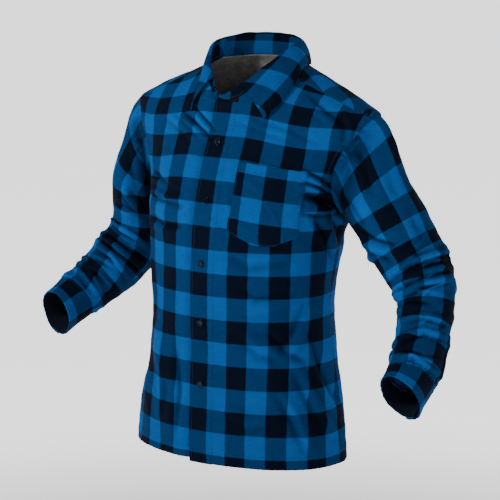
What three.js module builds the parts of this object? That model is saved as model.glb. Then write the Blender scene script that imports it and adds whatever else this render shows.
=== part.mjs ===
// Long-sleeved check shirt, filled out as if worn.  Lengths are in millimetres and angles in degrees.
// X points to the wearer's left, Y to the wearer's back and Z up.  The origin is the middle of the neck,
// level with the points where the shoulder seams meet the collar.

import * as THREE from "three";

// Driving dimensions

const WALL = 1.6;
const SEAM_GAP = 0.3;
const UNDERARM_HEIGHT = -272;
const NECK_HALF_WIDTH = 80;
const NECK_ARCH = 20;
const SHOULDER_HALF_WIDTH = 266;
const SHOULDER_DROP = 84;
const FRONT_NECK_RISE = 44.6;
const BACK_NECK_RISE = 70.4;
const SHOULDER_SEAM_RISE = 74;
const HEM = { left: -736, right: -731, back: -734 };
const PLACKET_EDGES = { right: -22, left: 28 };
const PLACKET_MIDDLE = (PLACKET_EDGES.left + PLACKET_EDGES.right) / 2;
const PLACKET_WALL = 2.4;
const UNDERLAP = { edge: 14, start: -44, end: -26, depth: 2.9 };
const LINING_DEPTH = 1.6;
const LINING_WALL = 1;
const STAND_WALL = 2.2;
const STAND_HEIGHT = { back: 38, front: 22, outerEnd: 0.2, innerEnd: 0.45 };
const LEAF_WALL = 2;
const POCKET_WALL = 1.6;
const CUFF = { wall: 2.4, lap: 0.08, ramp: 0.12, layerGap: 0.6 };
const BUTTON = { radius: 6.2, thickness: 2.6, rim: 0.5 };
const LOWER_POWER = 2.15;

const BLUE = 0x0b5c96;
const NAVY = 0x16202e;
const CHARCOAL = 0x3b3a38;

// Level sections of the body below the underarm: half width across, centre in Y, depth to the front
// and to the back, and the angle from the centre front at which the side seam lies.
const LOWER_SECTIONS = [
  { at: -744, half: 217, centre: -51, front: 138, back: 131, sideSeam: 103 },
  { at: -690, half: 214, centre: -52, front: 138, back: 133, sideSeam: 103 },
  { at: -630, half: 203, centre: -50, front: 139, back: 136, sideSeam: 102 },
  { at: -570, half: 191, centre: -48, front: 139, back: 138, sideSeam: 101 },
  { at: -515, half: 184, centre: -47, front: 139, back: 138, sideSeam: 100 },
  { at: -460, half: 181, centre: -46, front: 139, back: 138, sideSeam: 99 },
  { at: -390, half: 186, centre: -42, front: 141, back: 136, sideSeam: 97 },
  { at: -325, half: 195, centre: -34, front: 145, back: 130, sideSeam: 94 },
  { at: -272, half: 204, centre: -25, front: 147, back: 122, sideSeam: 90 },
];

// Sections of the body above the underarm.  A rise of 0 is the level underarm section and a rise of
// 90 is the shoulder ridge; between them the sections fan up over the chest and the back, and their
// power makes them squarer towards the shoulders.
const UPPER_SECTIONS = [
  { at: 0, half: 204, centre: -25, front: 147, back: 122, frontEdge: 90, backEdge: 90, power: 2.15 },
  { at: 9, half: 204, centre: -24, front: 137, back: 124, frontEdge: 81, backEdge: 80, power: 2.15 },
  { at: 18, half: 212, centre: -22, front: 126, back: 124, frontEdge: 74, backEdge: 74, power: 2.15 },
  { at: 27, half: 224, centre: -19, front: 110, back: 120, frontEdge: 71, backEdge: 72, power: 2.2 },
  { at: 36, half: 236, centre: -15, front: 99, back: 113, frontEdge: 71, backEdge: 73, power: 2.35 },
  { at: 45, half: 246, centre: -10, front: 92, back: 104, frontEdge: 73, backEdge: 76, power: 2.6 },
  { at: 60, half: 257, centre: -5, front: 67, back: 86, frontEdge: 78, backEdge: 81, power: 3 },
  { at: 75, half: 264, centre: -2, front: 35, back: 52, frontEdge: 84, backEdge: 86, power: 3.4 },
  { at: 90, half: 266, centre: 0, front: 0, back: 0, frontEdge: 90, backEdge: 90, power: 3.4 },
];

// Sleeve sections from the armhole to the wrist: centre of the tube and its half widths, one across
// the outer side of the arm and one from front to back.
const LEFT_SLEEVE = [
  { x: 280, y: -5, z: -252, wide: 69, deep: 63 },
  { x: 301, y: 1, z: -286, wide: 67, deep: 65 },
  { x: 326, y: 5, z: -326, wide: 64, deep: 64 },
  { x: 351, y: 8, z: -363, wide: 61, deep: 61 },
  { x: 367, y: 2, z: -391, wide: 56, deep: 56 },
  { x: 377, y: -9, z: -420, wide: 50, deep: 51 },
  { x: 386, y: -27, z: -453, wide: 49, deep: 49 },
  { x: 394, y: -49, z: -486, wide: 48, deep: 48 },
  { x: 400, y: -77, z: -519, wide: 47, deep: 47 },
  { x: 402, y: -98, z: -538, wide: 45, deep: 45 },
];
const LEFT_CUFF_END = { x: 407, y: -141, z: -564, wide: 45, deep: 45, ahead: [-0.19, -0.88, -0.43] };
const RIGHT_SLEEVE = [
  { x: -265, y: 2, z: -254, wide: 57, deep: 72 },
  { x: -272, y: 10, z: -282, wide: 58, deep: 71 },
  { x: -280, y: 18, z: -316, wide: 58, deep: 69 },
  { x: -291, y: 19, z: -356, wide: 59, deep: 66 },
  { x: -308, y: 4, z: -388, wide: 57, deep: 60 },
  { x: -327, y: -19, z: -420, wide: 55, deep: 56 },
  { x: -345, y: -46, z: -448, wide: 50, deep: 51 },
  { x: -360, y: -74, z: -467, wide: 47, deep: 47 },
  { x: -366, y: -94, z: -479, wide: 45, deep: 45 },
];
const RIGHT_CUFF_END = { x: -376, y: -145, z: -505, wide: 43, deep: 43, ahead: [-0.29, -0.93, -0.2] };

// Rings of cloth pushed up on each sleeve: place along the sleeve from 0 to 1, height of the fold,
// half length, how far it slants across the tube, and the angle round the tube where it is highest.
const LEFT_FOLDS = [
  { along: 0.47, height: 5.5, spread: 0.022, slant: 0.03, around: 300 },
  { along: 0.54, height: 5, spread: 0.02, slant: -0.03, around: 60 },
  { along: 0.62, height: 4, spread: 0.02, slant: 0.02, around: 290 },
  { along: 0.79, height: 3, spread: 0.018, slant: 0.02, around: 40 },
  { along: 0.9, height: 4, spread: 0.02, slant: -0.02, around: 90 },
];
const RIGHT_FOLDS = [
  { along: 0.45, height: 5, spread: 0.022, slant: -0.03, around: 90 },
  { along: 0.53, height: 5.5, spread: 0.02, slant: 0.03, around: 100 },
  { along: 0.62, height: 4, spread: 0.02, slant: -0.02, around: 180 },
  { along: 0.72, height: 4, spread: 0.018, slant: 0.03, around: 150 },
  { along: 0.83, height: 4, spread: 0.018, slant: -0.02, around: 120 },
];

// Lower edge of the collar leaf round the neck, on the wearer's left and right: angle from the centre
// front, distance across, and signed rise on the body, which runs over 90 on the back.
const LEAF_EDGE = {
  left: [
    { at: 14, across: 88, rise: 41 },
    { at: 21, across: 97, rise: 45.5 },
    { at: 29, across: 106, rise: 50 },
    { at: 39, across: 112, rise: 55 },
    { at: 52, across: 117, rise: 61 },
    { at: 66, across: 118, rise: 68 },
    { at: 80, across: 114, rise: 78 },
    { at: 95, across: 105, rise: 90 },
    { at: 120, across: 92, rise: 101 },
    { at: 150, across: 54, rise: 113 },
    { at: 180, across: 0, rise: 116 },
  ],
  right: [
    { at: 29, across: 75, rise: 40.5 },
    { at: 34, across: 73, rise: 46 },
    { at: 42, across: 71, rise: 52 },
    { at: 52, across: 72, rise: 60 },
    { at: 64, across: 80, rise: 70 },
    { at: 78, across: 90, rise: 82 },
    { at: 95, across: 97, rise: 93 },
    { at: 120, across: 92, rise: 101 },
    { at: 150, across: 54, rise: 113 },
    { at: 180, across: 0, rise: 116 },
  ],
};
const LEAF_FRONT = { left: 14, right: 29 };
const LEAF_CLEARANCE = 4.5;

// Outline of the chest pocket from the top to the bottom: height at its two edges and distances across.
const POCKET_ROWS = [
  { down: 0, nearX: 59, nearZ: -173, farX: 176, farZ: -187 },
  { down: 0.25, nearX: 58, nearZ: -204, farX: 174, farZ: -217 },
  { down: 0.5, nearX: 57, nearZ: -235, farX: 170, farZ: -247 },
  { down: 0.75, nearX: 56, nearZ: -266, farX: 168, farZ: -277 },
  { down: 0.9, nearX: 55, nearZ: -296, farX: 167, farZ: -304 },
  { down: 0.95, nearX: 79, nearZ: -308, farX: 151, farZ: -312 },
  { down: 1, nearX: 104, nearZ: -320, farX: 135, farZ: -320 },
];

const PLACKET_BUTTON_HEIGHTS = [-141, -246, -361, -471, -587];

// Small helpers

const radians = THREE.MathUtils.degToRad;
const clamp = THREE.MathUtils.clamp;
const lerp = THREE.MathUtils.lerp;
const smooth = (value, low, high) => THREE.MathUtils.smoothstep(value, low, high);
const vector = (x, y, z) => new THREE.Vector3(x, y, z);
const signedPower = (value, power) => Math.sign(value) * Math.abs(value) ** power;
const steps = (count) => Array.from({ length: count + 1 }, (_, i) => i / count);

/** Slope of column `name` at row `index`, for the curve through the rows. */
function rowSlope(rows, index, name) {
  const before = rows[Math.max(index - 1, 0)];
  const after = rows[Math.min(index + 1, rows.length - 1)];
  return (after[name] - before[name]) / (after.at - before.at);
}

/** Smooth value of column `name` at `at`, from a table whose rows go up in `at`. */
function fromTable(rows, at, name) {
  const place = clamp(at, rows[0].at, rows[rows.length - 1].at);
  let index = 0;
  while (index < rows.length - 2 && rows[index + 1].at <= place) {
    index += 1;
  }
  const low = rows[index];
  const high = rows[index + 1];
  const span = high.at - low.at;
  const t = (place - low.at) / span;
  const startSlope = rowSlope(rows, index, name) * span;
  const endSlope = rowSlope(rows, index + 1, name) * span;
  return (2 * t ** 3 - 3 * t ** 2 + 1) * low[name]
    + (t ** 3 - 2 * t ** 2 + t) * startSlope
    + (-2 * t ** 3 + 3 * t ** 2) * high[name]
    + (t ** 3 - t ** 2) * endSlope;
}

// The body's form

/** Height of the shoulder ridge at a distance across. */
function ridgeHeight(x) {
  const across = Math.abs(x);
  if (across < NECK_HALF_WIDTH) {
    return NECK_ARCH * (1 - (across / NECK_HALF_WIDTH) ** 2);
  }
  return -SHOULDER_DROP * (across - NECK_HALF_WIDTH) / (SHOULDER_HALF_WIDTH - NECK_HALF_WIDTH);
}

/** Point on the level section at `height`; the angle runs from the centre front, left side positive. */
function lowerPoint(angle, height) {
  const cosine = Math.cos(radians(angle));
  const sine = Math.sin(radians(angle));
  const depth = fromTable(LOWER_SECTIONS, height, cosine >= 0 ? "front" : "back");
  const x = fromTable(LOWER_SECTIONS, height, "half") * signedPower(sine, 2 / LOWER_POWER);
  const y = fromTable(LOWER_SECTIONS, height, "centre") - depth * signedPower(cosine, 2 / LOWER_POWER);
  return vector(x, y, height);
}

/** Point above the underarm, on the front for a rise up to 90 and on the back past it. */
function upperPoint(angle, signedRise) {
  const isBack = signedRise > 90;
  const rise = isBack ? 180 - signedRise : signedRise;
  const depth = fromTable(UPPER_SECTIONS, rise, isBack ? "back" : "front");
  const power = 2 / fromTable(UPPER_SECTIONS, rise, "power");
  const x = fromTable(UPPER_SECTIONS, rise, "half") * signedPower(Math.sin(radians(angle)), power);
  const reach = depth * signedPower(Math.cos(radians(angle)), power);
  const y = fromTable(UPPER_SECTIONS, rise, "centre") + (isBack ? reach : -reach);
  const z = UNDERARM_HEIGHT + (ridgeHeight(x) - UNDERARM_HEIGHT) * Math.sin(radians(rise));
  return vector(x, y, z);
}

/** Angle at which the section of a rise reaches a distance across. */
function angleAcross(x, signedRise) {
  const rise = signedRise > 90 ? 180 - signedRise : signedRise;
  const half = fromTable(UPPER_SECTIONS, rise, "half");
  const sine = clamp(Math.abs(x) / half, 0, 1) ** (fromTable(UPPER_SECTIONS, rise, "power") / 2);
  return Math.sign(x) * THREE.MathUtils.radToDeg(Math.asin(sine));
}

/** Point of the body at a distance across and a signed rise. */
const acrossPoint = (x, signedRise) => upperPoint(angleAcross(x, signedRise), signedRise);

/** Point on the front of the body at a distance across and a height. */
function frontPoint(x, height) {
  if (height > UNDERARM_HEIGHT) {
    const share = (height - UNDERARM_HEIGHT) / (ridgeHeight(x) - UNDERARM_HEIGHT);
    return acrossPoint(x, THREE.MathUtils.radToDeg(Math.asin(clamp(share, 0, 1))));
  }
  const half = fromTable(LOWER_SECTIONS, height, "half");
  const sine = clamp(Math.abs(x) / half, 0, 1) ** (LOWER_POWER / 2);
  return lowerPoint(Math.sign(x) * THREE.MathUtils.radToDeg(Math.asin(sine)), height);
}

/** Direction out of the cloth at a place on a surface given by two numbers. */
function outward(surface, u, v, stepU, stepV, flip = 1) {
  const alongU = surface(u + stepU, v).sub(surface(u - stepU, v));
  const alongV = surface(u, v + stepV).sub(surface(u, v - stepV));
  return alongU.cross(alongV).multiplyScalar(flip).normalize();
}

/** Outward direction of the body at an angle and a signed rise, turned over the ridge on the back. */
function upperNormal(angle, signedRise) {
  const rise = clamp(signedRise, 2, 178);
  const turn = clamp(angle, -88, 88);
  return outward(upperPoint, turn, rise, 0.5, 0.5);
}

const lowerNormal = (angle, height) => outward(lowerPoint, angle, height, 0.5, 2);

/** Distance across of the neckline at a signed rise. */
function neckAcross(signedRise) {
  const isBack = signedRise > 90;
  const rise = isBack ? 180 - signedRise : signedRise;
  const lowest = isBack ? BACK_NECK_RISE : FRONT_NECK_RISE;
  const share = clamp((90 - rise) / (90 - lowest), 0, 1);
  return NECK_HALF_WIDTH * Math.sqrt(1 - share ** 2);
}

/** Signed rise of the neckline at an angle round the neck, 0 at the centre front and 180 at the back. */
function neckRise(angle) {
  const cosine = Math.cos(radians(angle));
  return cosine >= 0
    ? 90 - (90 - FRONT_NECK_RISE) * cosine
    : 90 - (90 - BACK_NECK_RISE) * cosine;
}

const neckPoint = (angle) => acrossPoint(NECK_HALF_WIDTH * Math.sin(radians(angle)), neckRise(angle));

/** Angle at which the armhole edge lies on the section of a signed rise. */
function armholeAngle(signedRise) {
  const isBack = signedRise > 90;
  return fromTable(UPPER_SECTIONS, isBack ? 180 - signedRise : signedRise, isBack ? "backEdge" : "frontEdge");
}

// Shells of cloth

/**
 * Closed wall of cloth over a grid of points.  `grid[row][column]` holds a point and the direction
 * out of the cloth; `inner` and `outer` are the distances of the two faces along that direction.
 * `has(row, column)` says which cells the piece covers, and `closed` joins the last column to the first.
 */
function shellGeometry(grid, inner, outer, { closed = false, has = () => true } = {}) {
  const rows = grid.length;
  const columns = grid[0].length;
  const cellColumns = closed ? columns : columns - 1;
  const positions = [];
  const triangles = [];
  for (const distance of [outer, inner]) {
    for (const row of grid) {
      for (const { point, normal } of row) {
        const placed = point.clone().addScaledVector(normal, distance);
        positions.push(placed.x, placed.y, placed.z);
      }
    }
  }
  const index = (layer, row, column) => (layer * rows + row) * columns + (column % columns);
  const quad = (a, b, c, d) => triangles.push(a, b, c, a, c, d);
  const wrap = (column) => (closed ? (column + cellColumns) % cellColumns : column);
  const covered = (row, column) => row >= 0 && row < rows - 1
    && wrap(column) >= 0 && wrap(column) < cellColumns && has(row, wrap(column));
  for (let row = 0; row < rows - 1; row += 1) {
    for (let column = 0; column < cellColumns; column += 1) {
      if (!covered(row, column)) {
        continue;
      }
      const corners = [[row, column], [row, column + 1], [row + 1, column + 1], [row + 1, column]];
      const face = (layer) => corners.map(([r, c]) => index(layer, r, c));
      quad(...face(0));
      const [a, b, c, d] = face(1);
      triangles.push(a, c, b, a, d, c);
      const beside = [[row - 1, column], [row, column + 1], [row + 1, column], [row, column - 1]];
      beside.forEach(([r, c], side) => {
        if (!covered(r, c)) {
          const from = corners[side];
          const to = corners[(side + 1) % 4];
          quad(index(1, ...from), index(1, ...to), index(0, ...to), index(0, ...from));
        }
      });
    }
  }
  return cleanGeometry(positions, triangles);
}

/** Geometry without the points that no triangle uses. */
function cleanGeometry(positions, triangles) {
  const renumbered = new Map();
  const kept = [];
  const indices = triangles.map((old) => {
    if (!renumbered.has(old)) {
      renumbered.set(old, renumbered.size);
      kept.push(...positions.slice(old * 3, old * 3 + 3));
    }
    return renumbered.get(old);
  });
  const geometry = new THREE.BufferGeometry();
  geometry.setAttribute("position", new THREE.Float32BufferAttribute(kept, 3));
  geometry.setIndex(indices);
  return geometry;
}

const shirt = new THREE.Group();

function addPiece(name, geometry, color = BLUE, roughness = 0.9) {
  const material = new THREE.MeshStandardMaterial({ color, roughness, metalness: 0 });
  const mesh = new THREE.Mesh(geometry, material);
  mesh.name = name;
  shirt.add(mesh);
  return mesh;
}

const HALF_WALL = WALL / 2;
const LOWER_ROWS = 9;
const HALF_GAP = SEAM_GAP / 2;

/** Levels of a panel from its hem to the underarm. */
const lowerLevels = (hem) => steps(LOWER_ROWS).slice(0, -1).map((share) => lerp(hem, UNDERARM_HEIGHT, share));

/** Angle of a seam gap of half the usual width, at a distance from the middle of the body. */
const gapAngle = (radius) => THREE.MathUtils.radToDeg(HALF_GAP / radius);

const SIDE_RADIUS = 150;
const SIDE_GAP = gapAngle(SIDE_RADIUS);
const RISE_GAP = 0.08;
const ARMHOLE_GAP = 0.6;
const YOKE_SEAM = { middle: 36, side: 50 };
const BACK_RISES = 5;
const YOKE_BACK_ROWS = 4;
const YOKE_FRONT_ROWS = 2;
const PATCH_LIFT = WALL / 2 + SEAM_GAP + 0.4;
const POCKET_LIFT = WALL + 0.8;
const SLEEVE_PLACKET = { column: 14, rows: 8 };

// Front panels

const FRONT_RISES = [0, 8, 17, 27, 36, FRONT_NECK_RISE, 50, 58, 66, SHOULDER_SEAM_RISE];
const FRONT_COLUMNS = 12;

/** How far the right front dips behind the placket at a distance across. */
const underlapDepth = (x) => UNDERLAP.depth * smooth(x, UNDERLAP.start, UNDERLAP.end);

// Sleeves and cuffs

const CAP_ROWS = 4;
const SLEEVE_ROWS = 24;
const CUFF_ROWS = 2;
const CUFF_COLUMNS = 24;
const CUFF_START = 0.72;
const CAP_EASE = 0.35;
const SHOULDER_SLOPE = { across: 0.85, up: -0.5 };
const SMOOTH_END = 0.06;
const SIDES = { left: 1, right: -1 };

const lerpSteps = (from, to, count) => steps(count).slice(1).map((share) => lerp(from, to, share));

/** Signed rises at which the armhole is sampled, the same as the rows of the panels that end there. */
const ARMHOLE_RISES = [
  ...FRONT_RISES,
  ...lerpSteps(SHOULDER_SEAM_RISE, 90, YOKE_FRONT_ROWS),
  ...lerpSteps(90, 180 - YOKE_SEAM.side, YOKE_BACK_ROWS),
  ...lerpSteps(180 - YOKE_SEAM.side, 180, BACK_RISES).slice(0, -1),
];

const armholePoint = (side, signedRise) => upperPoint(side * armholeAngle(signedRise), signedRise);

/** The armhole's samples: point, body normal, direction away from the body, and share of the way round. */
function armholeRing(side) {
  const ring = ARMHOLE_RISES.map((rise, index) => {
    const count = ARMHOLE_RISES.length;
    const next = armholePoint(side, ARMHOLE_RISES[(index + 1) % count]);
    const last = armholePoint(side, ARMHOLE_RISES[(index + count - 1) % count]);
    const normal = upperNormal(side * armholeAngle(rise), rise);
    const away = next.sub(last).cross(normal).multiplyScalar(side).normalize();
    return { rise, point: armholePoint(side, rise), normal, away };
  });
  let length = 0;
  ring.forEach((cell, index) => {
    cell.share = length;
    length += cell.point.distanceTo(ring[(index + 1) % ring.length].point);
  });
  ring.forEach((cell) => {
    cell.share /= length;
  });
  return ring;
}

/** Smooth curve through the sleeve's sections, with frames carried along it without twist. */
function sleeveFrames(sections, side) {
  const rows = sections.map((section, index) => ({ at: index / (sections.length - 1), ...section }));
  const centre = (at) => vector(fromTable(rows, at, "x"), fromTable(rows, at, "y"), fromTable(rows, at, "z"));
  let outer = vector(side, 0, 0.55);
  return steps(SLEEVE_ROWS).map((at) => {
    const along = centre(Math.min(at + 0.01, 1)).sub(centre(Math.max(at - 0.01, 0))).normalize();
    outer = outer.clone().addScaledVector(along, -outer.dot(along)).normalize();
    const front = along.clone().cross(outer).multiplyScalar(side);
    const wide = fromTable(rows, at, "wide");
    const deep = fromTable(rows, at, "deep");
    return { at, centre: centre(at), along, outer, front, wide, deep };
  });
}

/** Height of the pushed-up folds at a place on a sleeve. */
function foldHeight(folds, at, turn) {
  return folds.reduce((sum, fold) => {
    const facing = Math.cos(radians(turn - fold.around));
    const distance = (at - fold.along - fold.slant * facing) / fold.spread;
    return sum + fold.height * (0.6 + 0.4 * facing) * Math.exp(-(distance ** 2));
  }, 0);
}

/** Point of a sleeve's section; the share runs round it from under the arm through the front. */
function ringPoint(frame, share, extra = 0) {
  const turn = radians(share * 360);
  return frame.centre.clone()
    .addScaledVector(frame.outer, -(frame.wide + extra) * Math.cos(turn))
    .addScaledVector(frame.front, (frame.deep + extra) * Math.sin(turn));
}

/** Points of a whole sleeve: the cap leaves the armhole and turns into the plain tube. */
function sleevePoints(armhole, frames, folds, side) {
  const rings = frames.map((frame) => armhole.map(({ share }) => {
    const ease = smooth(1 - frame.at, 0, SMOOTH_END);
    return ringPoint(frame, share, foldHeight(folds, frame.at, share * 360) * ease);
  }));
  const cap = steps(CAP_ROWS).slice(0, -1).map((part) => armhole.map((cell, index) => {
    const start = cell.point.clone().addScaledVector(cell.away, ARMHOLE_GAP);
    const end = rings[0][index];
    const reach = CAP_EASE * start.distanceTo(end);
    const height = Math.sin(radians(cell.rise));
    const leave = cell.away.clone().addScaledVector(cell.normal, 1 - height)
      .lerp(vector(side * SHOULDER_SLOPE.across, 0, SHOULDER_SLOPE.up), height ** 2).normalize();
    const first = start.clone().addScaledVector(leave, reach);
    const second = end.clone().addScaledVector(frames[0].along, -reach);
    return new THREE.CubicBezierCurve3(start, first, second, end).getPoint(part);
  }));
  return [...cap, ...rings];
}

/** Grid with normals for a closed tube of points. */
function tubeGrid(points, side) {
  return points.map((row, r) => row.map((point, c) => {
    const count = row.length;
    const next = points[Math.min(r + 1, points.length - 1)][c];
    const last = points[Math.max(r - 1, 0)][c];
    const around = row[(c + 1) % count].clone().sub(row[(c + count - 1) % count]);
    const normal = around.cross(next.clone().sub(last)).multiplyScalar(-side).normalize();
    return { point: point.clone(), normal };
  }));
}

/** A sleeve: its frames, its grid, and its armhole with the normals that it shares with the body. */
function makeSleeve(sections, folds, side) {
  const armhole = armholeRing(side);
  const frames = sleeveFrames(sections, side);
  const grid = tubeGrid(sleevePoints(armhole, frames, folds, side), side);
  grid[0].forEach((cell, index) => {
    cell.normal = cell.normal.clone().add(armhole[index].normal).normalize();
    armhole[index].mitre = cell.normal;
  });
  return { armhole, frames, grid };
}

const SLEEVES = {
  left: makeSleeve(LEFT_SLEEVE, LEFT_FOLDS, SIDES.left),
  right: makeSleeve(RIGHT_SLEEVE, RIGHT_FOLDS, SIDES.right),
};

/** Outward direction that the body and the sleeve share at the armhole sample nearest to a rise. */
function mitreNormal(side, signedRise) {
  const { armhole } = side > 0 ? SLEEVES.left : SLEEVES.right;
  const distance = ({ rise }) => Math.min(Math.abs(rise - signedRise), Math.abs(rise + 180 - signedRise));
  return armhole.reduce((best, cell) => (distance(cell) < distance(best) ? cell : best)).mitre.clone();
}

/** Frame of the open end of a cuff, turned to face the way that its table row says. */
function cuffEndFrame(last, end) {
  const along = vector(...end.ahead).normalize();
  const outer = last.outer.clone().addScaledVector(along, -last.outer.dot(along)).normalize();
  const front = last.front.clone().addScaledVector(along, -last.front.dot(along))
    .addScaledVector(outer, -last.front.dot(outer)).normalize();
  return { along, outer, front, centre: vector(end.x, end.y, end.z), wide: end.wide, deep: end.deep };
}

/** The cuff: an open band round the wrist whose end laps over its start. */
function cuffGrid(frames, end) {
  const last = frames[frames.length - 1];
  const finish = cuffEndFrame(last, end);
  const shares = steps(CUFF_COLUMNS).map((share) => share * (1 + CUFF.lap));
  return steps(CUFF_ROWS).map((part) => shares.map((share) => {
    const lap = (CUFF.wall + CUFF.layerGap) * smooth(share, 1 - CUFF.ramp, 0.99);
    const from = ringPoint(last, share + CUFF_START, lap);
    const to = ringPoint(finish, share + CUFF_START, lap);
    const normal = ringPoint(last, share + CUFF_START).sub(last.centre).normalize();
    return { point: from.lerp(to, lerp(0.01, 1, part)), normal };
  }));
}

/** Points for the sleeve placket: a narrow strip along the back of the forearm above the cuff. */
function sleevePlacketGrid(grid) {
  const column = SLEEVE_PLACKET.column;
  return grid.slice(-SLEEVE_PLACKET.rows).map((row) => [row[column], row[column + 1]]);
}

for (const [name, side] of Object.entries(SIDES)) {
  const { frames, grid } = SLEEVES[name];
  const end = name === "left" ? LEFT_CUFF_END : RIGHT_CUFF_END;
  const faced = (cells) => (side > 0 ? flipped(cells) : cells);
  addPiece(`sleeve_${name}`, shellGeometry(faced(grid), -HALF_WALL, HALF_WALL, { closed: true }));
  const cuff = faced(cuffGrid(frames, end));
  addPiece(`cuff_${name}`, shellGeometry(cuff, -CUFF.wall / 2, CUFF.wall / 2));
  const strip = faced(sleevePlacketGrid(grid));
  addPiece(`sleeve_placket_${name}`, shellGeometry(strip, PATCH_LIFT, PATCH_LIFT + WALL));
}

/** The same grid with its columns in the other order, which turns its faces over. */
function flipped(cells) {
  return cells.map((row) => [...row].reverse());
}

/** One front panel: side is 1 for the wearer's left and -1 for the right. */
function frontPanel(side) {
  const hem = side > 0 ? HEM.left : HEM.right;
  const frontEdge = side > 0 ? PLACKET_EDGES.left + SEAM_GAP : -UNDERLAP.edge;
  const cell = (point, normal) => {
    const sunk = side < 0 ? underlapDepth(point.x) : 0;
    return { point: point.addScaledVector(normal, -sunk), normal };
  };
  const between = (start, end) => {
    const angles = steps(FRONT_COLUMNS).map((share) => side * lerp(start, end, share));
    return side > 0 ? angles : angles.reverse();
  };
  const lowerRow = (height) => {
    const half = fromTable(LOWER_SECTIONS, height, "half");
    const start = Math.asin(signedPower(frontEdge / half, LOWER_POWER / 2));
    const end = fromTable(LOWER_SECTIONS, height, "sideSeam") - SIDE_GAP;
    return between(THREE.MathUtils.radToDeg(start), end)
      .map((angle) => cell(lowerPoint(angle, height), lowerNormal(angle, height)));
  };
  const upperRow = (rise) => {
    const edge = Math.max(neckAcross(rise), 0);
    const across = rise > FRONT_NECK_RISE ? Math.max(edge, frontEdge) : frontEdge;
    const level = Math.min(rise, SHOULDER_SEAM_RISE - RISE_GAP);
    const row = between(angleAcross(across, level), armholeAngle(level))
      .map((angle) => cell(upperPoint(angle, level), upperNormal(angle, level)));
    const last = side > 0 ? row.length - 1 : 0;
    row[last].normal = mitreNormal(side, rise);
    return row;
  };
  return [...lowerLevels(hem).map(lowerRow), ...FRONT_RISES.map(upperRow)];
}

addPiece("front_left", shellGeometry(frontPanel(1), -HALF_WALL, HALF_WALL));
addPiece("front_right", shellGeometry(frontPanel(-1), -HALF_WALL, HALF_WALL));

// Placket: a folded band on the left front edge, a little proud of the panel

const PLACKET_BOTTOM = HEM.left - 1;
const PLACKET_ROWS = 24;
const PLACKET_PROUD = 0.5;
const PLACKET_TOP_DROP = 2;

function placketGrid() {
  const top = neckPoint(0).z - PLACKET_TOP_DROP;
  return steps(PLACKET_ROWS).map((share) => {
    const height = lerp(PLACKET_BOTTOM, top, share);
    return [PLACKET_EDGES.right, PLACKET_MIDDLE, PLACKET_EDGES.left].map((x) => {
      return { point: frontPoint(x, height), normal: frontNormal(x, height) };
    });
  });
}

/** Outward direction of the front at a distance across and a height. */
function frontNormal(x, height) {
  return outward(frontPoint, x, height, 2, 4);
}

addPiece(
  "placket",
  shellGeometry(placketGrid(), PLACKET_PROUD - PLACKET_WALL / 2, PLACKET_PROUD + PLACKET_WALL / 2),
);

// Back panel and yoke

const YOKE_NECK_COLUMNS = 8;
const YOKE_SIDE_COLUMNS = 6;

/** Signed rise of the seam between the back and the yoke, which dips less than the shoulders do. */
function yokeSeamRise(x) {
  const share = Math.min(Math.abs(x) / SHOULDER_HALF_WIDTH, 1);
  return 180 - lerp(YOKE_SEAM.middle, YOKE_SEAM.side, share ** 2);
}

/** Columns shared by the back and the yoke: the part under the neck, then each shoulder. */
function yokeColumns() {
  const neck = steps(YOKE_NECK_COLUMNS).map((share) => ({ neckShare: share * 2 - 1, armShare: 0 }));
  const arm = steps(YOKE_SIDE_COLUMNS).slice(1);
  return [
    ...arm.map((share) => ({ neckShare: -1, armShare: share })).reverse(),
    ...neck,
    ...arm.map((share) => ({ neckShare: 1, armShare: share })),
  ];
}

/** Signed rise of the yoke seam on a column. */
function columnSeamRise({ neckShare, armShare }) {
  return yokeSeamRise(lerp(Math.abs(neckShare) * NECK_HALF_WIDTH, SHOULDER_HALF_WIDTH, armShare));
}

/** Angle of a column on the section of a signed rise. */
function columnAngle({ neckShare, armShare }, signedRise, neckHalf = NECK_HALF_WIDTH) {
  const neckAngle = angleAcross(Math.abs(neckShare) * neckHalf, signedRise);
  return Math.sign(neckShare || 1) * lerp(neckAngle, armholeAngle(signedRise), armShare);
}

function backPanel() {
  const columns = yokeColumns().map((column) => {
    const seam = columnSeamRise(column);
    return { ...column, seam, part: columnAngle(column, seam) / armholeAngle(seam) };
  }).reverse();
  const lowerRow = (height) => {
    const halfAngle = 180 - fromTable(LOWER_SECTIONS, height, "sideSeam") - SIDE_GAP;
    return columns.map(({ part }) => {
      const angle = 180 - part * halfAngle;
      return { point: lowerPoint(angle, height), normal: lowerNormal(angle, height) };
    });
  };
  const upperRow = (share) => columns.map(({ armShare, seam, part }) => {
    const rise = Math.max(lerp(180, seam, share), seam + RISE_GAP);
    const angle = part * armholeAngle(rise);
    const normal = armShare === 1 ? mitreNormal(Math.sign(part), rise) : upperNormal(angle, rise);
    return { point: upperPoint(angle, rise), normal };
  });
  return [...lowerLevels(HEM.back).map(lowerRow), ...steps(BACK_RISES).map(upperRow)];
}

addPiece("back", shellGeometry(backPanel(), -HALF_WALL, HALF_WALL));

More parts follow.
